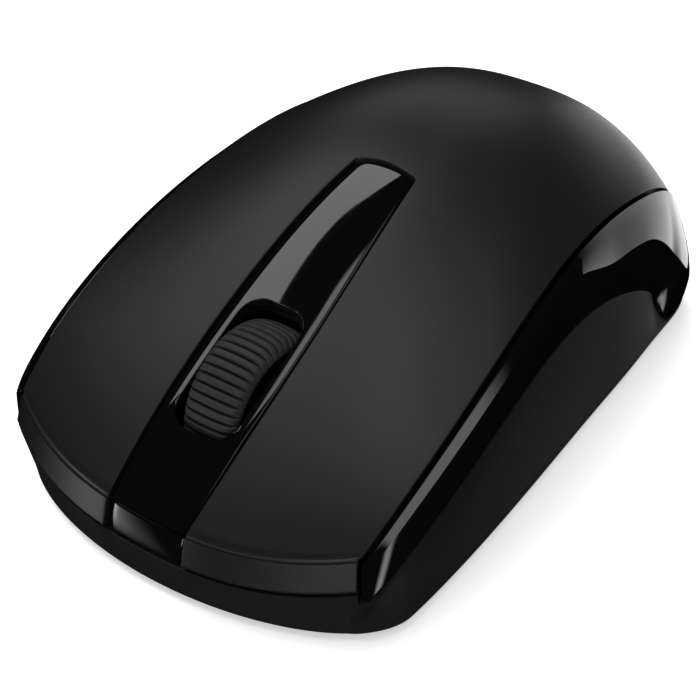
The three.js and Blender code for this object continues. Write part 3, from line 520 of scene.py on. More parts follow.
def matte_cover():
    """Satin spray finish with a fine even grain."""
    made, nodes, links, shader = material("matte_cover", gray(0.0075), 0.38)
    broad = noise(nodes, links, 60, 2)
    links.new(tint(nodes, links, broad.outputs["Fac"], gray(0.007), gray(0.008)), shader.inputs["Base Color"])
    fine = noise(nodes, links, 9000, 2, 0.6)
    links.new(spread(nodes, links, fine.outputs["Fac"], 0.35, 0.41), shader.inputs["Roughness"])
    bump(nodes, links, fine.outputs["Fac"], shader, 0.000012, 0.25)
    return made


def gloss_black():
    """Piano-black plastic with faint handling haze."""
    made, nodes, links, shader = material("gloss_black", gray(0.002), 0.02)
    haze = noise(nodes, links, 220, 4, 0.6)
    links.new(spread(nodes, links, haze.outputs["Fac"], 0.012, 0.03), shader.inputs["Roughness"])
    color = tint(nodes, links, haze.outputs["Fac"], gray(0.0018), gray(0.0024))
    links.new(color, shader.inputs["Base Color"])
    return made


def grained(name, dark, light, roughness, scale=4000, metallic=0.0, depth=0.00002, strength=0.3, detail=3,
            coarse=0.55):
    """A moulded or cast surface between two colours and between two roughnesses, with a grain."""
    made, nodes, links, shader = material(name, light, roughness[1], metallic)
    fine = noise(nodes, links, scale, detail, coarse)
    links.new(tint(nodes, links, fine.outputs["Fac"], dark, light), shader.inputs["Base Color"])
    links.new(spread(nodes, links, fine.outputs["Fac"], *roughness), shader.inputs["Roughness"])
    bump(nodes, links, fine.outputs["Fac"], shader, depth, strength)
    return made


MATTE = matte_cover()
CASE = grained("matte_case", gray(0.007), gray(0.009), (0.48, 0.62), 5200, depth=0.00003, coarse=0.6)
GLOSS = gloss_black()
RUBBER = grained("wheel_rubber", gray(0.016), gray(0.024), (0.5, 0.7), 3500, 0, 0.00004, 0.4, 4, 0.6)
# The inner plastic's own colour; it is also put on the buttons' walls beside the strip as painted shade.
INNER_PLASTIC_AND_SLIT_SHADE = grained("inner_plastic", gray(0.003), gray(0.006), (0.425, 0.6))
GLIDE = grained("glide_pad", gray(0.03), gray(0.045), (0.2975, 0.42), 2500)
STEEL = grained("bright_steel", (0.5, 0.51, 0.53), (0.62, 0.63, 0.65), (0.238, 0.336), 6000, 1.0)
BOARD = grained("solder_mask", (0.008, 0.05, 0.018), (0.012, 0.07, 0.028), (0.2975, 0.42), 900)
CHIP = grained("moulded_resin", gray(0.008), gray(0.013), (0.3825, 0.54), 5000)
CREAM = grained("cream_plastic", (0.55, 0.49, 0.38), (0.62, 0.56, 0.44), (0.3825, 0.54), 3000)
LENS = grained("clear_lens", (0.75, 0.8, 0.84), (0.82, 0.87, 0.9), (0.068, 0.096), 500)
INFRARED = grained("infrared_resin", (0.012, 0.004, 0.006), (0.02, 0.007, 0.01), (0.102, 0.144), 800)
CELL_WRAP = grained("cell_wrap", (0.02, 0.03, 0.045), (0.028, 0.04, 0.06), (0.2125, 0.3), 300)
LENS.node_tree.nodes["Principled BSDF"].inputs["Transmission Weight"].default_value = 0.9

# ---------------- top cover


def palm_grid(count, rings):
    """Rows from one seam over the crest to the other; at the rear they fold together on the middle line."""
    y = side_stations(count, BUTTON_ROOT)
    seam = np.stack([seam_half_width(y), y], -1)
    core_end = 26.0
    share = (y - BUTTON_ROOT) / (HULL_REAR - BUTTON_ROOT)
    core = np.stack([np.zeros_like(y), BUTTON_ROOT + share * (core_end - BUTTON_ROOT)], -1)
    t = (np.arange(rings + 1) / rings) ** 2
    half = seam[:, None] * (1 - t[:, None]) + core[:, None] * t[:, None]
    other = half[:, -2::-1] * (-1, 1)
    plan = np.concatenate([half, other], axis=1)
    return np.concatenate([plan, deck(plan[..., 0], plan[..., 1])[..., None]], axis=2)


def palm_cover():
    base = palm_grid(130, 56)
    normals = deck_normal(base[..., 0], base[..., 1])
    outer = base - normals * round_drop(edge_distance(base), EDGE_ROUND)[..., None]
    inner = base - normals * COVER_WALL
    inner[..., 1] = np.maximum(inner[..., 1], BUTTON_ROOT)
    outer[0, :, 1] = BUTTON_ROOT
    solid = shell_solid(outer, inner, open_last_row=True)
    posts = [screw_post(side) for side in (-1, 1)]
    piece = piece_from("palm_cover_skin", *joined(solid, palm_tongue(), *posts), "case", "cover_matte", MATTE)
    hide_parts("palm_cover")


def palm_tongue():
    """The part of the palm cover that fills the channel behind the strip."""
    half = float(strip_half_width(np.array(STRIP_REAR_Y))) + SLIT
    x = np.linspace(-half, half, 41)
    end = STRIP_REAR_Y + STRIP_REAR_BOW * (1 - (x / (half - SLIT)) ** 2) + 0.4
    end -= 0.25 * np.clip((np.abs(x) / half - 0.8) / 0.2, 0, 1) ** 2
    rows = []
    for t in (0, 0.03, 0.1, 0.2, 0.35, 0.6, 1):
        y = end + (BUTTON_ROOT - end) * t
        rows.append(np.column_stack([x, y, deck(x, y)]))
    base = np.array(rows)
    normals = deck_normal(base[..., 0], base[..., 1])
    outer = base - normals * round_drop(base[..., 1] - end, 0.15)[..., None]
    return shell_solid(outer, base - (0, 0, COVER_WALL))


def screw_post(side):
    """The hollow post that a case screw bites into."""
    top = float(deck(np.array(SCREW_X), np.array(SCREW_Y))) - 1.9
    low = POST_TOP + 0.4
    profile = [(1.35, low), (2.6, low), (2.8, low + 0.2), (2.8, top), (1.35, top), (1.35, low)]
    return lathe(profile, (SCREW_X * side, SCREW_Y, 0), sides=32, cap=False)


# Rows over the crease of a front piece: outward offset and drop from the crease.
CREASE_GROOVE = [(0.086, 0.35), (0.04, 0.17), (-0.07, 0.25), (-0.2, 0.06), (-0.34, 0.0)]
CREASE_PLAIN = [(0.086, 0.35), (0.03, 0.12), (-0.03, 0.03), (-0.15, 0.0), (-0.34, 0.0)]


def lip_rows(x, crease_rows):
    """Rows from the lip's foot up to the crease, over columns at x."""
    y = front_y(x)
    out = front_normal(x)
    top = deck(x, y)
    rows = []
    for step in [0, 0.01, 0.03, 0.065, 0.11, 0.2, 0.3, 0.4, 0.5, 0.6, 0.7, 0.8, 0.87]:
        rows.append((LIP_OUT * (1 - step), LIP_HEIGHT * (1 - step)))
    rows += crease_rows
    return [np.column_stack([x + out[:, 0] * a, y + out[:, 1] * a, top - b]) for a, b in rows]


def deck_rows(x_near_far, columns, count, root):
    """Rows over the deck from the crease back to the root, each between its own near and far edge."""
    near, far = x_near_far(LIP_Y + 0 * columns)
    start = front_y(near + (far - near) * columns) + 0.5
    rows = []
    for t in np.arange(count + 1) / count:
        y = start + (root - start) * t
        near, far = x_near_far(y)
        x = near + (far - near) * columns
        rows.append(np.column_stack([x, y, deck(x, y)]))
    return rows


def front_piece_normals(base, x, lip_count):
    """Outward directions of a button's or the strip's rows: the lip's own, then the deck's."""
    out = front_normal(x)
    lip_up = unit(np.column_stack([out[:, :2] * LIP_HEIGHT, np.full(len(x), LIP_OUT)]))
    on_lip = np.arange(len(base)) < lip_count - 2
    return np.where(on_lip[:, None, None], lip_up[None], deck_normal(base[..., 0], base[..., 1]))


def fold_behind_lip(inner, base, back, lip_count):
    """Runs the inner face's first rows down behind the lip from the corner that it forms with the deck."""
    corner = inner[lip_count - 1].copy()
    for r in range(lip_count):
        level = base[r] + back
        inner[r] = np.where((level[:, 2] < corner[:, 2] - 0.05)[:, None], level, corner)


def edge_spread(width, inner=24):
    """Column fractions across a piece, close together within the rounding of both edges."""
    rim = np.array([0, 0.04, 0.13, 0.25, 0.45, 0.75, 1.0]) * EDGE_ROUND / width
    middle = np.linspace(rim[-1], 1 - rim[-1], inner)
    return np.concatenate([rim[:-1], middle, 1 - rim[:-1][::-1]])


def button_edges(y):
    return strip_half_width(y) + SLIT, np.where(y < CORNER_Y, LIP_HALF_WIDTH, seam_half_width(y))


def button(side, name):
    columns = edge_spread(20)
    near, far = strip_half_width(np.array(LIP_Y)) + SLIT, LIP_HALF_WIDTH - 0.05
    x = near + (far - near) * columns
    lip = lip_rows(x, CREASE_GROOVE)
    deck_part = deck_rows(button_edges, columns, 70, BUTTON_ROOT)
    base = np.array(lip + deck_part)
    normals = front_piece_normals(base, x, len(lip))
    reach = rows_length(base)
    foot = rows_length(base.transpose(1, 0, 2)).T
    beside_tongue = (reach < reach[:, -1:] / 2) * smoothstep(base[..., 1], -1.1, -0.5)
    drop = round_drop(np.minimum(edge_distance(base), foot), EDGE_ROUND) * (1 - beside_tongue)
    outer = base - normals * drop[..., None]
    whole = joined(shell_solid(outer, button_underside(base, x, len(lip))), switch_rib())
    if side < 0:
        whole = mirrored(whole)
    piece = piece_from(name + "_skin", *whole, name, "cover_matte", MATTE)
    paint_slit_shade_on_walls(piece)
    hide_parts(name)


def paint_slit_shade_on_walls(piece):
    """Painted shade: the darker inner plastic on the faces that turn towards the strip, standing for the
    shade in the slit.
    """
    piece.data.materials.append(INNER_PLASTIC_AND_SLIT_SHADE)
    for face in piece.data.polygons:
        x, y = face.center.x / MM, face.center.y / MM - ORIGIN_SHIFT
        beside_strip = abs(x) < float(strip_half_width(np.array(y))) + SLIT + 0.1
        if beside_strip and abs(face.normal.x) > 0.8:
            # painted shade: the darker material makes this wall read as lying in the slit's shade
            face.material_index = 1


def button_underside(base, x, lip_count):
    """The inner face: in from the lip, down from the deck, meeting in one corner line."""
    inner = base.copy()
    inner[..., 1] = np.maximum(inner[..., 1], front_y(x) + COVER_WALL)
    inner[..., 2] = deck(base[..., 0], inner[..., 1]) - COVER_WALL * WALL_SLANT
    fold_behind_lip(inner, base, -front_normal(x) * COVER_WALL, lip_count)
    inner[-1, :, 1] = BUTTON_ROOT
    return inner


def switch_rib():
    """The rib that presses a microswitch."""
    x, y, width, foot_z = SWITCH_RIB
    half = width / 2
    outline, normals = rounded_rectangle(x - half, x + half, y - half, y + half, 0.4, 4)
    top = float(deck(np.array(x), np.array(y))) - 1.5
    return rounded_plate(outline, normals, foot_z, top, 0.15, 2)


# ---------------- centre strip


def strip_sink(y):
    """How far the strip lies under the deck: it kinks at the crease ahead of the wheel."""
    at_nose, at_crease, behind_crease, length = STRIP_SINK
    ahead = at_crease + (at_nose - at_crease) * np.clip((STRIP_CREASE_Y - y) / (STRIP_CREASE_Y - LIP_Y), 0, 1)
    behind = at_crease + (behind_crease - at_crease) * np.clip((y - STRIP_CREASE_Y) / length, 0, 1)
    return np.where(y < STRIP_CREASE_Y, ahead, behind)


def strip_top(x, y):
    return deck(x, y) - strip_sink(y)


def shoulder_drop(distance):
    """The soft roll-off and the rounded edge along the strip's sides."""
    roll = np.clip(1 - distance / STRIP_ROLL_WIDTH, 0, 1) ** 2 * STRIP_ROLL_DROP
    return roll + round_drop(distance, STRIP_ROUND)


def strip_rows():
    """y of the rows behind the nose, with close ones at the crease."""
    fine = [STRIP_CREASE_Y + d for d in (-0.3, -0.1, -0.03, 0.03, 0.1, 0.3)]
    front = np.linspace(LIP_Y + 0.5, STRIP_CREASE_Y - 0.6, 22)
    rear = np.linspace(STRIP_CREASE_Y + 0.6, STRIP_REAR_Y - 0.3, 90)
    ends = [STRIP_REAR_Y + d for d in (-0.24, -0.18, -0.12, -0.08, -0.05, -0.02, 0)]
    return np.concatenate([front, fine, rear, ends])


def center_strip():
    width = 2 * STRIP_HALF_WIDTH[0]
    rim = np.array([0, 0.02, 0.06, 0.12, 0.2, 0.3, 0.45, 0.65, 0.9, 1.2]) / width
    columns = np.concatenate([rim, np.linspace(1.6 / width, 1 - 1.6 / width, 20), 1 - rim[::-1]])
    u = 2 * columns - 1
    half = strip_half_width(np.array(LIP_Y))
    x = u * half
    sink = strip_sink(np.array(LIP_Y))
    lip = bulged([row - (0, -sink, sink) for row in lip_rows(x, CREASE_PLAIN)])
    rows = []
    for y0 in strip_rows():
        share = (y0 - LIP_Y) / (STRIP_REAR_Y - LIP_Y)
        sweep = (front_y(x) - LIP_Y) * (1 - share) + STRIP_REAR_BOW * (1 - u * u) * share
        y = y0 + sweep * (1 if y0 > LIP_Y else 0)
        turn = np.clip((y0 - STRIP_REAR_Y + STRIP_CORNER) / STRIP_CORNER, 0, 1)
        xs = u * (strip_half_width(y) - STRIP_CORNER * (1 - np.sqrt(1 - 0.9 * turn * turn)))
        rows.append(np.column_stack([xs, y, strip_top(xs, y)]))
    base = np.array(lip + rows)
    ends = edge_distance(base.transpose(1, 0, 2)).T
    drop = shoulder_drop(edge_distance(base)) + round_drop(ends, STRIP_ROUND)
    outer = base - front_piece_normals(base, x, len(lip)) * drop[..., None]
    inner = base.copy()
    inner[..., 1] = np.maximum(inner[..., 1], front_y(x) + sink + STRIP_WALL)
    inner[..., 2] = strip_top(base[..., 0], inner[..., 1]) - STRIP_WALL * WALL_SLANT
    fold_behind_lip(inner, base, -front_normal(x) * STRIP_WALL, len(lip))
    piece = piece_from("center_strip_skin", *shell_solid(outer, inner), "case", "gloss_black", GLOSS)
    cut(piece, [slot_cutter()])
    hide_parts("center_strip")


def bulged(rows):
    """The nose of the strip, slightly pillowed from crease to foot."""
    heights = np.array([row[0, 2] for row in rows])
    share = (heights - heights[0]) / (heights[-1] - heights[0])
    return [row + (0, -NOSE_BULGE * 4 * t * (1 - t), 0) for row, t in zip(rows, share)]


def slot_cutter():
    """The wheel's slot, flared at the top so that its rim comes out rounded."""
    half = SLOT_HALF_WIDTH
    outline, normals = rounded_rectangle(-half, half, SLOT_FRONT, SLOT_REAR, SLOT_CORNER, 14)
    surface = strip_top(outline[:, 0], outline[:, 1])
    radius = 0.12
    levels = [(0, -9.0)]
    for i in range(8):
        a = math.radians(i * 11)
        levels.append((radius * (1 - math.cos(a)), -radius * (1 - math.sin(a))))
    last = levels[-1]
    levels.append((last[0] + 0.06, last[1] + 0.3))
    levels.append((last[0] + 0.06, 6.0))
    loops = []
    for offset, height in levels:
        xy = outline + normals * offset
        loops.append(np.column_stack([xy, surface + height]))
    return loft(loops)


# ---------------- side trims

# A crease splits each flank: ahead of the turn into a narrow ledge and the flank, behind it into two slopes.
RIDGE = [0.6, 0.8, 1.05, 1.2, 1.0, 0.8, 0.4, 0.1]    # how far the crease stands out, as a spline over y
LEDGE_DROP = (0.65, 1.0, 6.0, 12.0)      # crease under the seam: front, the turn's ends, rear
LEDGE_TURN = (-2, 15)                    # y where the ledge turns into the upper slope
LEDGE_REAR = (22, 42)                    # y where the crease sinks to its rear depth
SEAM_RIM = 2.6                           # the trim's rim under the palm cover closes the seam
SEAM_RIM_END = 44
GROOVE = 0.5                             # the ledge starts this far out of the seam


def ledge_drop(y):
    front, before, after, rear = LEDGE_DROP
    drop = front + (before - front) * smoothstep(y, CORNER_Y, LEDGE_TURN[0])
    return drop + (after - before) * smoothstep(y, *LEDGE_TURN) + (rear - after) * smoothstep(y, *LEDGE_REAR)


def trim_bulge(y):
    """How far a trim's flank swells out at half height."""
    height, start, full, end = TRIM_BULGE
    return height * smoothstep(y, start, full) * (1 - smoothstep(y, full, end))


def trim_stations(count=170):
    """Stations from a fan round the front corner along the seam to the rear."""
    start = front_normal(np.array([LIP_HALF_WIDTH]))[0]
    end = seam_normal(np.array([CORNER_Y]))[0]
    tangent = np.array([-start[1], start[0], 0])
    corner = np.array([LIP_HALF_WIDTH, CORNER_Y, 0]) + tangent * 0.4
    low_front = float(deck(np.array(LIP_HALF_WIDTH), np.array(CORNER_Y))) - LIP_HEIGHT - 0.2
    low_corner = float(trim_low(CORNER_Y))
    tip, length = TRIM_TIP
    stations = []
    for f in np.linspace(0, 0.95, 12):
        low = low_front + (low_corner - low_front) * f
        out = unit(start * (1 - f) + end * f)
        stations.append(dict(base=corner, out=out, y=CORNER_Y, low=low, reach=tip))
    ys = side_stations(count, CORNER_Y + 0.45)
    outs = seam_normal(ys)
    for y, out, low in zip(ys, outs, trim_low(ys)):
        base = np.array([float(seam_half_width(y)), y, 0]) + out * SLIT
        turn = 1 - min((y - CORNER_Y) / length, 1)
        reach = tip + (1 - tip) * math.sqrt(1 - turn * turn)
        stations.append(dict(base=base, out=out, y=y, low=float(low), reach=reach))
    return stations


def trim_section(station):
    """Cross-section loop: groove, ledge, its crease, the flank, the rounded foot and the inside."""
    y, low, reach = station["y"], station["low"], station["reach"]
    top = float(seam_height(y)) - 0.35
    height = top - low
    foot_out = max((float(trim_lower_out(np.array([y]))[0]) - SLIT) * reach, 0.25)
    start = (GROOVE - SLIT) * reach
    share = min(float(ledge_drop(y)) / height, 0.75)
    bulge = float(trim_bulge(y)) + 0.1
    ridge = float(along(RIDGE, y)) * reach

    def face(t):
        over = t / share if t < share else (1 - t) / (1 - share)
        return start + (foot_out - start) * t + bulge * 4 * t * (1 - t) + ridge * over, top - height * t

    section = [(start, top - 0.25), (start, top - 0.05), (start + 0.02, top), (start + 0.05, top + 0.01)]
    section += [face(share * f) for f in (0.12, 0.3, 0.5, 0.7, 0.88, 0.98, 1)]
    section += [face(share + (1 - share) * f) for f in (0.01, 0.1, 0.22, 0.36, 0.5, 0.64, 0.78, 0.9, 0.97)]
    section += [(foot_out - 0.02, low + 0.06), (foot_out - 0.08, low), (foot_out - 0.5, low)]
    inside = max(foot_out - TRIM_WALL, -4.0)
    section += [(inside, low), (min(inside, face(share)[0] - TRIM_WALL), (top + low) / 2)]
    rim = SEAM_RIM if BUTTON_ROOT < y < SEAM_RIM_END else 0
    under = max(top - 3.2, low + 0.3)
    section += [(0, under), (-rim, under + 0.2), (-rim, under + 0.8), (0, under + 1), (0, top - 0.28)]
    return section


def side_trim(side, name):
    loops = []
    for station in trim_stations():
        least = 0.06 if station["y"] < CORNER_Y + 2 else -5
        loop = []
        for offset, z in trim_section(station):
            p = station["base"] + station["out"] * max(offset, least)
            loop.append((max(p[0], GAP / 2), p[1], z))
        loops.append(loop)
    solid = loft(loops)
    if side < 0:
        solid = mirrored(solid)
    piece = piece_from(name + "_skin", *solid, "case", "gloss_black", GLOSS, sharp=25, merge=0.001)
    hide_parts(name)


# ---------------- lower case


def base_front_y(x):
    """y of the case's front outline at half width x, by bisection."""
    low = np.full_like(x, BASE_FRONT_END)
    high = np.full_like(x, BASE_FRONT_ROUND[0])
    for _ in range(40):
        middle = (low + high) / 2
        outside = base_half_width(middle) < x
        low = np.where(outside, middle, low)
        high = np.where(outside, high, middle)
    return (low + high) / 2


def case_half(front_count=40, side_count=150):
    """Wall top, widest line, outward direction and waist of one half, front middle to rear middle."""
    x = LIP_HALF_WIDTH * np.sin(np.arange(front_count + 1) / front_count * math.pi / 2)
    out = front_normal(x)
    y = front_y(x)
    inset = LIP_OUT - CASE_SET_BACK
    top = np.column_stack([x + out[:, 0] * inset, y + out[:, 1] * inset, deck(x, y) - LIP_HEIGHT - LIP_GAP])
    top[-1, 2] = trim_low(CORNER_Y) - GAP
    base_x = x * FRONT_TAPER
    edge = np.column_stack([base_x, base_front_y(base_x), np.full_like(x, BASE_EDGE)])
    waist = np.zeros_like(x)
    ys = side_stations(side_count, CORNER_Y + 0.6)
    side_out = seam_normal(ys)
    seam = np.column_stack([seam_half_width(ys), ys, np.zeros_like(ys)])
    side_top = seam + side_out * trim_lower_out(ys)[:, None]
    side_top[:, 2] = trim_low(ys) - GAP
    side_edge = seam + side_out * base_reach(ys)[:, None]
    side_edge[:, 2] = BASE_EDGE
    side_waist = WAIST_DEPTH * np.exp(-(((ys - WAIST_Y) / WAIST_SPREAD) ** 2))
    flat = side_top[:, 2] < BASE_EDGE + 0.2
    side_top[flat] = side_edge[flat]
    side_waist[flat] = 0
    return (np.concatenate([top, side_top]), np.concatenate([edge, side_edge]),
            np.concatenate([out, side_out]), np.concatenate([waist, side_waist]))


def full_loop(half):
    """A half outline and its mirror image as one closed loop."""
    return np.concatenate([half, half[1:-1][::-1] * (-1, 1, 1)])


def lower_case():
    top, edge, out, waist = case_half()

    def inward(p, depth):
        moved = p - out * np.reshape(depth, (-1, 1))
        moved[:, 0] = np.maximum(moved[:, 0], 0)
        return moved

    def wall_at(f):
        return inward(top + (edge - top) * f, 4 * f * (1 - f) * waist)

    def level(p, z):
        return np.column_stack([p[:, :2], np.full(len(p), z)])

    halves = [level(inward(edge, 3.0), BASE_BOTTOM)]
    for i in range(7):
        a = i / 6 * math.pi / 2
        z = BASE_EDGE - (BASE_EDGE - BASE_BOTTOM) * math.cos(a)
        halves.append(level(inward(edge, BASE_CHAMFER * (1 - math.sin(a))), z))
    halves += [wall_at(f) for f in (0.95, 0.88, 0.78, 0.66, 0.5, 0.33, 0.18, 0.08, 0.03, 0.0)]
    halves += [inward(top, 0.1) + (0, 0, 0.03), inward(top, BASE_WALL)]
    halves += [inward(wall_at(0.5), BASE_WALL), level(inward(edge, BASE_WALL + 0.6), BASE_FLOOR)]
    solid = loft([full_loop(h) for h in halves])
    piece = piece_from("lower_case_skin", *solid, "case", "case_matte", CASE, sharp=35)
    cut(piece, case_holes(), sharp=35)
    add_solids(piece, case_posts() + bay_walls(), sharp=35)
    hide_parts("lower_case")


def prism(x0, x1, y0, y1, z0, z1, corner=0.4, edge=0.15):
    """An upright plate or block with rounded corners and edges."""
    outline, normals = rounded_rectangle(x0, x1, y0, y1, corner, 6)
    return rounded_plate(outline, normals, z0, z1, edge)


def tube(x, y, z0, z1, inner, outer):
    """An upright ring; its profile closes on itself."""
    profile = [(inner, z0), (outer, z0), (outer, z1 - 0.15), (outer - 0.15, z1), (inner, z1), (inner, z0)]
    return lathe(profile, (x, y, 0), sides=36, cap=False)


def case_holes():
    """Cutters for the door, the sensor's window, the slider's slot and the screw wells."""
    width, front, rear = BAY
    door = prism(-width, width, front, rear, -1, 5, BAY_CORNER, 0.01)
    half, near, far = APERTURE
    window = prism(-half, half, near, far, -1, 5, 1.4, 0.01)
    x, y, travel, across, length = SLIDER
    slot = prism(x - across / 2 - GAP, x + across / 2 + GAP, y - length / 2 - GAP,
                 y + length / 2 + travel + GAP, -1, 5, 0.3, 0.01)
    wells = [lathe([(SCREW_HEAD + GAP, -1), (SCREW_HEAD + GAP, SCREW_SEAT)], (SCREW_X * side, SCREW_Y, 0))
             for side in (-1, 1)]
    return [door, window, slot, *wells]


def case_posts():
    """Screw posts of the case, each closed by the seat of its screw, and those that carry the board."""
    board_x, board_y, board_top = BOARD_SCREW
    posts = []
    for side in (-1, 1):
        posts.append(tube(SCREW_X * side, SCREW_Y, INSIDE_BOTTOM, POST_TOP, SCREW_HEAD + GAP, 3.2))
        posts.append(tube(SCREW_X * side, SCREW_Y, SCREW_SEAT, POST_TOP - 0.2, 1.4, 2.6))
        posts.append(tube(board_x * side, board_y, INSIDE_BOTTOM, board_top, 1.2, 2.2))
    return posts


def bay_walls():
    """Walls beside and ahead of the battery bay."""
    width, front, rear = BAY
    wall, high = BAY_WALL
    left = prism(width, width + wall, front, rear - 6, INSIDE_BOTTOM, high)
    ahead = prism(-width - wall, width + wall, front - 1, front, INSIDE_BOTTOM, high)
    return [mirrored(left), left, ahead]


def add_solids(piece, solids, sharp=40):
    """Adds closed solids, in hull millimetres, to a piece's mesh."""
    work = bmesh.new()
    work.from_mesh(piece.data)
    for points, faces in solids:
        mesh = mesh_from("part", points, faces, 0.001)
        work.from_mesh(mesh)
        bpy.data.meshes.remove(mesh)
    work.to_mesh(piece.data)
    work.free()
    finish_mesh(piece.data, sharp)


# ---------------- underside


def battery_door():
    """The door's plate, with a grip hollow and three bars across it."""
    width, front, rear = BAY
    half = width - GAP
    plate = prism(-half, half, front + GAP, rear - GAP, BASE_BOTTOM, BASE_FLOOR - 0.1, BAY_CORNER - GAP, 0.25)
    piece = piece_from("battery_door_skin", *plate, "battery_door", "case_matte", CASE, sharp=35)
    cut(piece, [prism(-7, 7, rear - 8, rear - 4, -1, BASE_BOTTOM + 0.5, 1.9, 0.2)], sharp=35)
    bars = [prism(-5, 5, rear - y - 0.3, rear - y + 0.3, BASE_BOTTOM + 0.15, BASE_BOTTOM + 0.8, 0.28, 0.12)
            for y in (5, 6, 7)]
    add_solids(piece, bars, sharp=35)
    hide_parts("battery_door")


def foot(name, side, x, y, width, length, turn):
    """A stadium-shaped glide pad."""
    half_width, half_length = width / 2, length / 2
    radius = min(half_width, half_length) - 0.01
    outline, normals = rounded_rectangle(-half_width, half_width, -half_length, half_length, radius, 12)
    points, faces = rounded_plate(outline, normals, 0, BASE_BOTTOM, 0.2)
    c, s = math.cos(turn * side), math.sin(turn * side)
    points = points @ np.array([[c, s, 0], [-s, c, 0], [0, 0, 1]]) + (x * side, y, 0)
    piece = piece_from(name + "_skin", points, faces, "case", "glide", GLIDE, sharp=35)
    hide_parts(name)


def case_screw(side, name):
    """A pan-head screw with a cross recess, seen down its well."""
    profile = [(0.9, 15), (0.9, SCREW_SEAT + 0.02), (SCREW_HEAD, SCREW_SEAT), (SCREW_HEAD, SCREW_SEAT - 0.7),
               (SCREW_HEAD - 0.25, SCREW_SEAT - 1.1), (SCREW_HEAD - 0.8, SCREW_SEAT - 1.35)]
    solid = lathe(profile, (SCREW_X * side, SCREW_Y, 0))
    piece = piece_from(name + "_skin", *solid, "case", "steel", STEEL, sharp=30)
    x, y, z = SCREW_X * side, SCREW_Y, SCREW_SEAT
    cross = [prism(x - a, x + a, y - b, y + b, z - 2, z - 0.5, 0.1, 0.01)
             for a, b in ((1.2, 0.22), (0.22, 1.2))]
    cut(piece, cross, sharp=30)
    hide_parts(name)


def battery_cell():
    """A round cell with a button at the front end and a shoulder at both."""
    x, z, radius, front, rear = CELL
    profile = [(1.9, front - 1), (1.9, front - 0.05), (2.2, front), (4.3, front + 0.05), (4.9, front + 0.3)]
    profile += [(radius, front + 0.7), (radius, rear - 0.6), (radius - 0.3, rear - 0.2), (radius - 0.9, rear)]
    solid = lathe(profile, (x, 0, z), "y", 64)
    piece = piece_from("battery_cell_skin", *solid, "case", "cell_wrap", CELL_WRAP, sharp=35)
    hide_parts("battery_cell")


def receiver_cap():
    """The moulded grip of the stowed receiver."""
    (x0, y0, z0), (x1, y1, z1) = ([v / MM for v in corner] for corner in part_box("receiver_cap"))
    solid = prism(x0, x1, y0 - ORIGIN_SHIFT, y1 - ORIGIN_SHIFT, z0, z1, 1.2, 0.6)
    piece = piece_from("receiver_cap_skin", *solid, "case", "inner_plastic", INNER_PLASTIC_AND_SLIT_SHADE, sharp=35)
    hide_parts("receiver_cap")


def tinted_nodes():
    """Materials with nodes for the CAD nodes that stay as they are."""
    looks = {
        "cover_matte": MATTE, "case_matte": CASE, "gloss_black": GLOSS, "wheel_rubber": RUBBER,
        "inner_plastic": INNER_PLASTIC_AND_SLIT_SHADE, "glide": GLIDE, "steel": STEEL, "board": BOARD, "chip_black": CHIP,
        "plunger_cream": CREAM, "clear_lens": LENS, "infrared_dark": INFRARED, "cell_wrap": CELL_WRAP,
    }
    for entry in frame["record"]["subparts"]:
        node = frame["nodes"][entry["node"]]
        node.data.materials.clear()
        node.data.materials.append(looks[entry["material_slot"]])


# ---------------- wheel


def tyre():
    """A crowned rubber tyre with rounded ribs across it."""
    per_rib = 14
    bore, bore_half_width = 8.45, 3.4
    sides = WHEEL_RIBS * per_rib
    u = np.linspace(-1, 1, 25)
    across = np.sin(u * math.pi / 2) * WHEEL_HALF_WIDTH
    shoulder = np.clip((np.abs(across) - 2.6) / 1.4, 0, 1)
    crown = 0.035 * across ** 2 + 1.3 * (1 - np.sqrt(np.maximum(1 - shoulder ** 2, 0)))
    depth = RIB_DEPTH * np.sqrt(np.maximum(1 - (np.abs(across) / WHEEL_HALF_WIDTH) ** 6, 0))
    phase = (np.arange(sides) % per_rib + 0.5) / per_rib - 0.5
    rib = np.clip(1 - (np.abs(phase) * 2) ** 5, 0, 1)
    angles = np.arange(sides) / sides * 2 * math.pi
    loops = []
    for a, height in zip(angles, rib):
        radius = WHEEL_RADIUS - crown - depth * (1 - height)
        section = [*zip(across, radius), (bore_half_width, bore), (-bore_half_width, bore)]
        loops.append([(x, WHEEL_Y + r * math.cos(a), WHEEL_Z + r * math.sin(a)) for x, r in section])
    points, faces = loft(loops, cap=False)
    cols = len(loops[0])
    last = len(points) - cols
    faces += [(last + c, last + (c + 1) % cols, (c + 1) % cols, c) for c in range(cols)]
    piece = piece_from("wheel_tyre_skin", points, faces, "wheel", "wheel_rubber", RUBBER, sharp=60)
    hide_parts("wheel_tyre")


# ---------------- stage, light and camera

FLOOR_SIZE = 8.0                         # metres, as all lengths below
MOUSE_MIDDLE = 0.03                      # height that the cards face
CAMERA_PLACE = (0.114344, -0.164782, 0.148168)
CAMERA_AZIMUTH = 36.166
CAMERA_ELEVATION = 35.127
CAMERA_ROLL = 0.441
CAMERA_LENS = 91.9


def direction(azimuth, elevation):
    """Unit vector; azimuth 0 is -Y and 90 is +X."""
    a, e = math.radians(azimuth), math.radians(elevation)
    return Vector((math.sin(a) * math.cos(e), -math.cos(a) * math.cos(e), math.sin(e)))


def camera():
    data = bpy.data.cameras.new("camera")
    data.lens = CAMERA_LENS
    data.sensor_width = 36
    made = placed("camera", data)
    back = direction(CAMERA_AZIMUTH, CAMERA_ELEVATION)
    turn = back.to_track_quat("Z", "Y").to_matrix() @ Matrix.Rotation(math.radians(CAMERA_ROLL), 3, "Z")
    made.matrix_world = Matrix.Translation(CAMERA_PLACE) @ turn.to_4x4()
    bpy.context.scene.camera = made


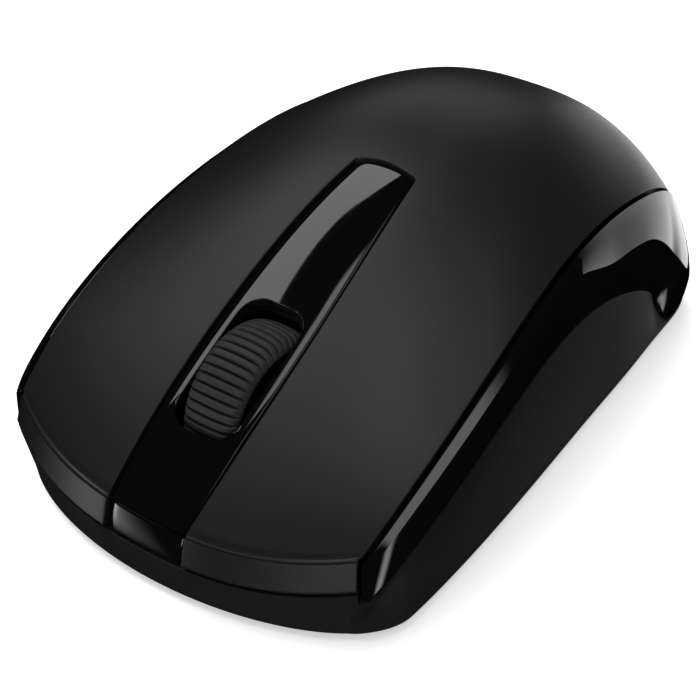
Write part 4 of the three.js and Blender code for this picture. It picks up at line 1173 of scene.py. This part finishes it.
def sheet(name, width, height):
    """A flat rectangle about its own origin, in metres."""
    w, h = width / 2, height / 2
    mesh = bpy.data.meshes.new(name)
    mesh.from_pydata([(-w, -h, 0), (w, -h, 0), (w, h, 0), (-w, h, 0)], [], [(0, 1, 2, 3)])
    return placed(name, mesh)


def floor():
    made = sheet("floor", FLOOR_SIZE, FLOOR_SIZE)
    look, nodes, links, shader = material("floor_paper", (0.9, 0.9, 0.9), 0.9)
    soft = noise(nodes, links, 3, 2)
    links.new(tint(nodes, links, soft.outputs["Fac"], (0.89, 0.89, 0.89), (0.91, 0.91, 0.91)),
              shader.inputs["Base Color"])
    shader.inputs["Emission Color"].default_value = (1, 1, 1, 1)
    shader.inputs["Emission Strength"].default_value = 0.45
    made.data.materials.append(look)
    made.visible_glossy = False


def softbox(name, azimuth, elevation, distance, width, height, radiance, fade=(0, 0, 0, 0), diffuse=True,
            roll=0):
    """A glowing card that faces the mouse; fade is the soft share of its left, right, lower and upper border.

    Left is towards smaller azimuth. Size and distance are in metres.
    """
    made = sheet(name, width, height)
    away = direction(azimuth, elevation)
    turn = (-away).to_track_quat("Z", "Y").to_matrix().to_4x4() @ Matrix.Rotation(math.radians(roll), 4, "Z")
    made.matrix_world = Matrix.Translation(away * distance + Vector((0, 0, MOUSE_MIDDLE))) @ turn
    made.data.materials.append(glow(name, radiance, width / 2, height / 2, fade))
    made.visible_camera = False
    made.visible_shadow = False
    made.visible_diffuse = diffuse


def glow(name, radiance, w, h, fade):
    """Emission that fades towards the borders of a card."""
    made = bpy.data.materials.new(name)
    made.use_nodes = True
    nodes, links = made.node_tree.nodes, made.node_tree.links
    nodes.clear()
    place = nodes.new("ShaderNodeTexCoord")
    split = nodes.new("ShaderNodeSeparateXYZ")
    links.new(place.outputs["Object"], split.inputs[0])
    strength = None
    borders = [("X", w, fade[0]), ("X", -w, fade[1]), ("Y", -h, fade[2]), ("Y", h, fade[3])]
    for axis, edge, share in borders:
        if share == 0:
            continue
        ramp = nodes.new("ShaderNodeMapRange")
        ramp.interpolation_type = "SMOOTHSTEP"
        ramp.inputs["From Min"].default_value = edge
        ramp.inputs["From Max"].default_value = edge * (1 - 2 * share)
        links.new(split.outputs[axis], ramp.inputs["Value"])
        product = nodes.new("ShaderNodeMath")
        product.operation = "MULTIPLY"
        product.inputs[0].default_value = radiance
        if strength:
            links.new(strength, product.inputs[0])
        links.new(ramp.outputs["Result"], product.inputs[1])
        strength = product.outputs[0]
    emission = nodes.new("ShaderNodeEmission")
    emission.inputs["Strength"].default_value = radiance
    if strength:
        links.new(strength, emission.inputs["Strength"])
    output = nodes.new("ShaderNodeOutputMaterial")
    links.new(emission.outputs[0], output.inputs["Surface"])
    return made


def fill(name, azimuth, elevation, distance, size, irradiance):
    """A broad light that no glossy surface mirrors."""
    data = bpy.data.lights.new(name, "AREA")
    data.size = size
    data.energy = irradiance * math.pi * distance ** 2
    made = placed(name, data)
    away = direction(azimuth, elevation)
    turn = away.to_track_quat("Z", "Y").to_matrix().to_4x4()
    made.matrix_world = Matrix.Translation(away * distance) @ turn
    made.visible_camera = False
    made.visible_glossy = False


def lights():
    world = bpy.data.worlds.new("studio")
    world.use_nodes = True
    world.node_tree.nodes["Background"].inputs["Color"].default_value = (1, 1, 1, 1)
    world.node_tree.nodes["Background"].inputs["Strength"].default_value = 0.55
    world.cycles_visibility.glossy = False
    bpy.context.scene.world = world
    bpy.context.scene.view_settings.view_transform = "Standard"
    fill("top_fill", -60, 76, 2.5, 1.6, 1.9)
    fill("front_fill", 28, 8, 2.5, 1.2, 0.75)
    softbox("left_softbox", -98, 53.2, 3.0, 1.95, 0.55, 2.8, roll=-4)
    softbox("upper_left_softbox", -68, 73, 3.3, 1.1, 1.0, 2.6, fade=(0.3, 0, 0.3, 0), diffuse=False)
    softbox("ledge_card", 80, 55, 3.0, 2.9, 0.75, 2.4, fade=(0.1, 0.3, 0.1, 0.1), diffuse=False)
    softbox("top_softbox", 150, 83, 2.8, 1.0, 0.9, 1.6, fade=(0.3, 0.3, 0.3, 0.3), diffuse=False)
    softbox("rear_left_card", -145, 26, 3.0, 2.0, 1.2, 0.8, fade=(0.3, 0.3, 0.3, 0.3), diffuse=False)
    softbox("backdrop_card", 170.5, -17, 3.0, 3.4, 1.36, 1.6, fade=(0.6, 0, 0, 0), diffuse=False)
    softbox("palm_card", 182, 9, 3.1, 1.7, 1.2, 1.2, fade=(0.5, 0, 0.2, 0.2), diffuse=False)
    softbox("front_left_card", -41, -17, 3.0, 1.1, 2.1, 5.4, fade=(0, 0.8, 0.75, 0), diffuse=False)
    softbox("front_card", 16, -2, 3.2, 1.9, 1.0, 5.0, fade=(0.5, 0.3, 0.3, 0.3), diffuse=False)
    softbox("corner_card", 117, -43, 3.0, 0.7, 0.9, 2.4, fade=(0.5, 0.5, 0.2, 0.2), diffuse=False)


# ---------------- assembly

camera()
floor()
lights()
palm_cover()
for word, side in SIDES.items():
    button(side, word + "_button")
center_strip()
for word, side in SIDES.items():
    side_trim(side, word + "_side_trim")
lower_case()
tyre()
tinted_nodes()
battery_door()
for end, foot_place in FEET.items():
    for word, side in SIDES.items():
        foot(f"{end}_{word}_foot", side, *foot_place)
for word, side in SIDES.items():
    case_screw(side, word + "_case_screw")
battery_cell()
receiver_cap()
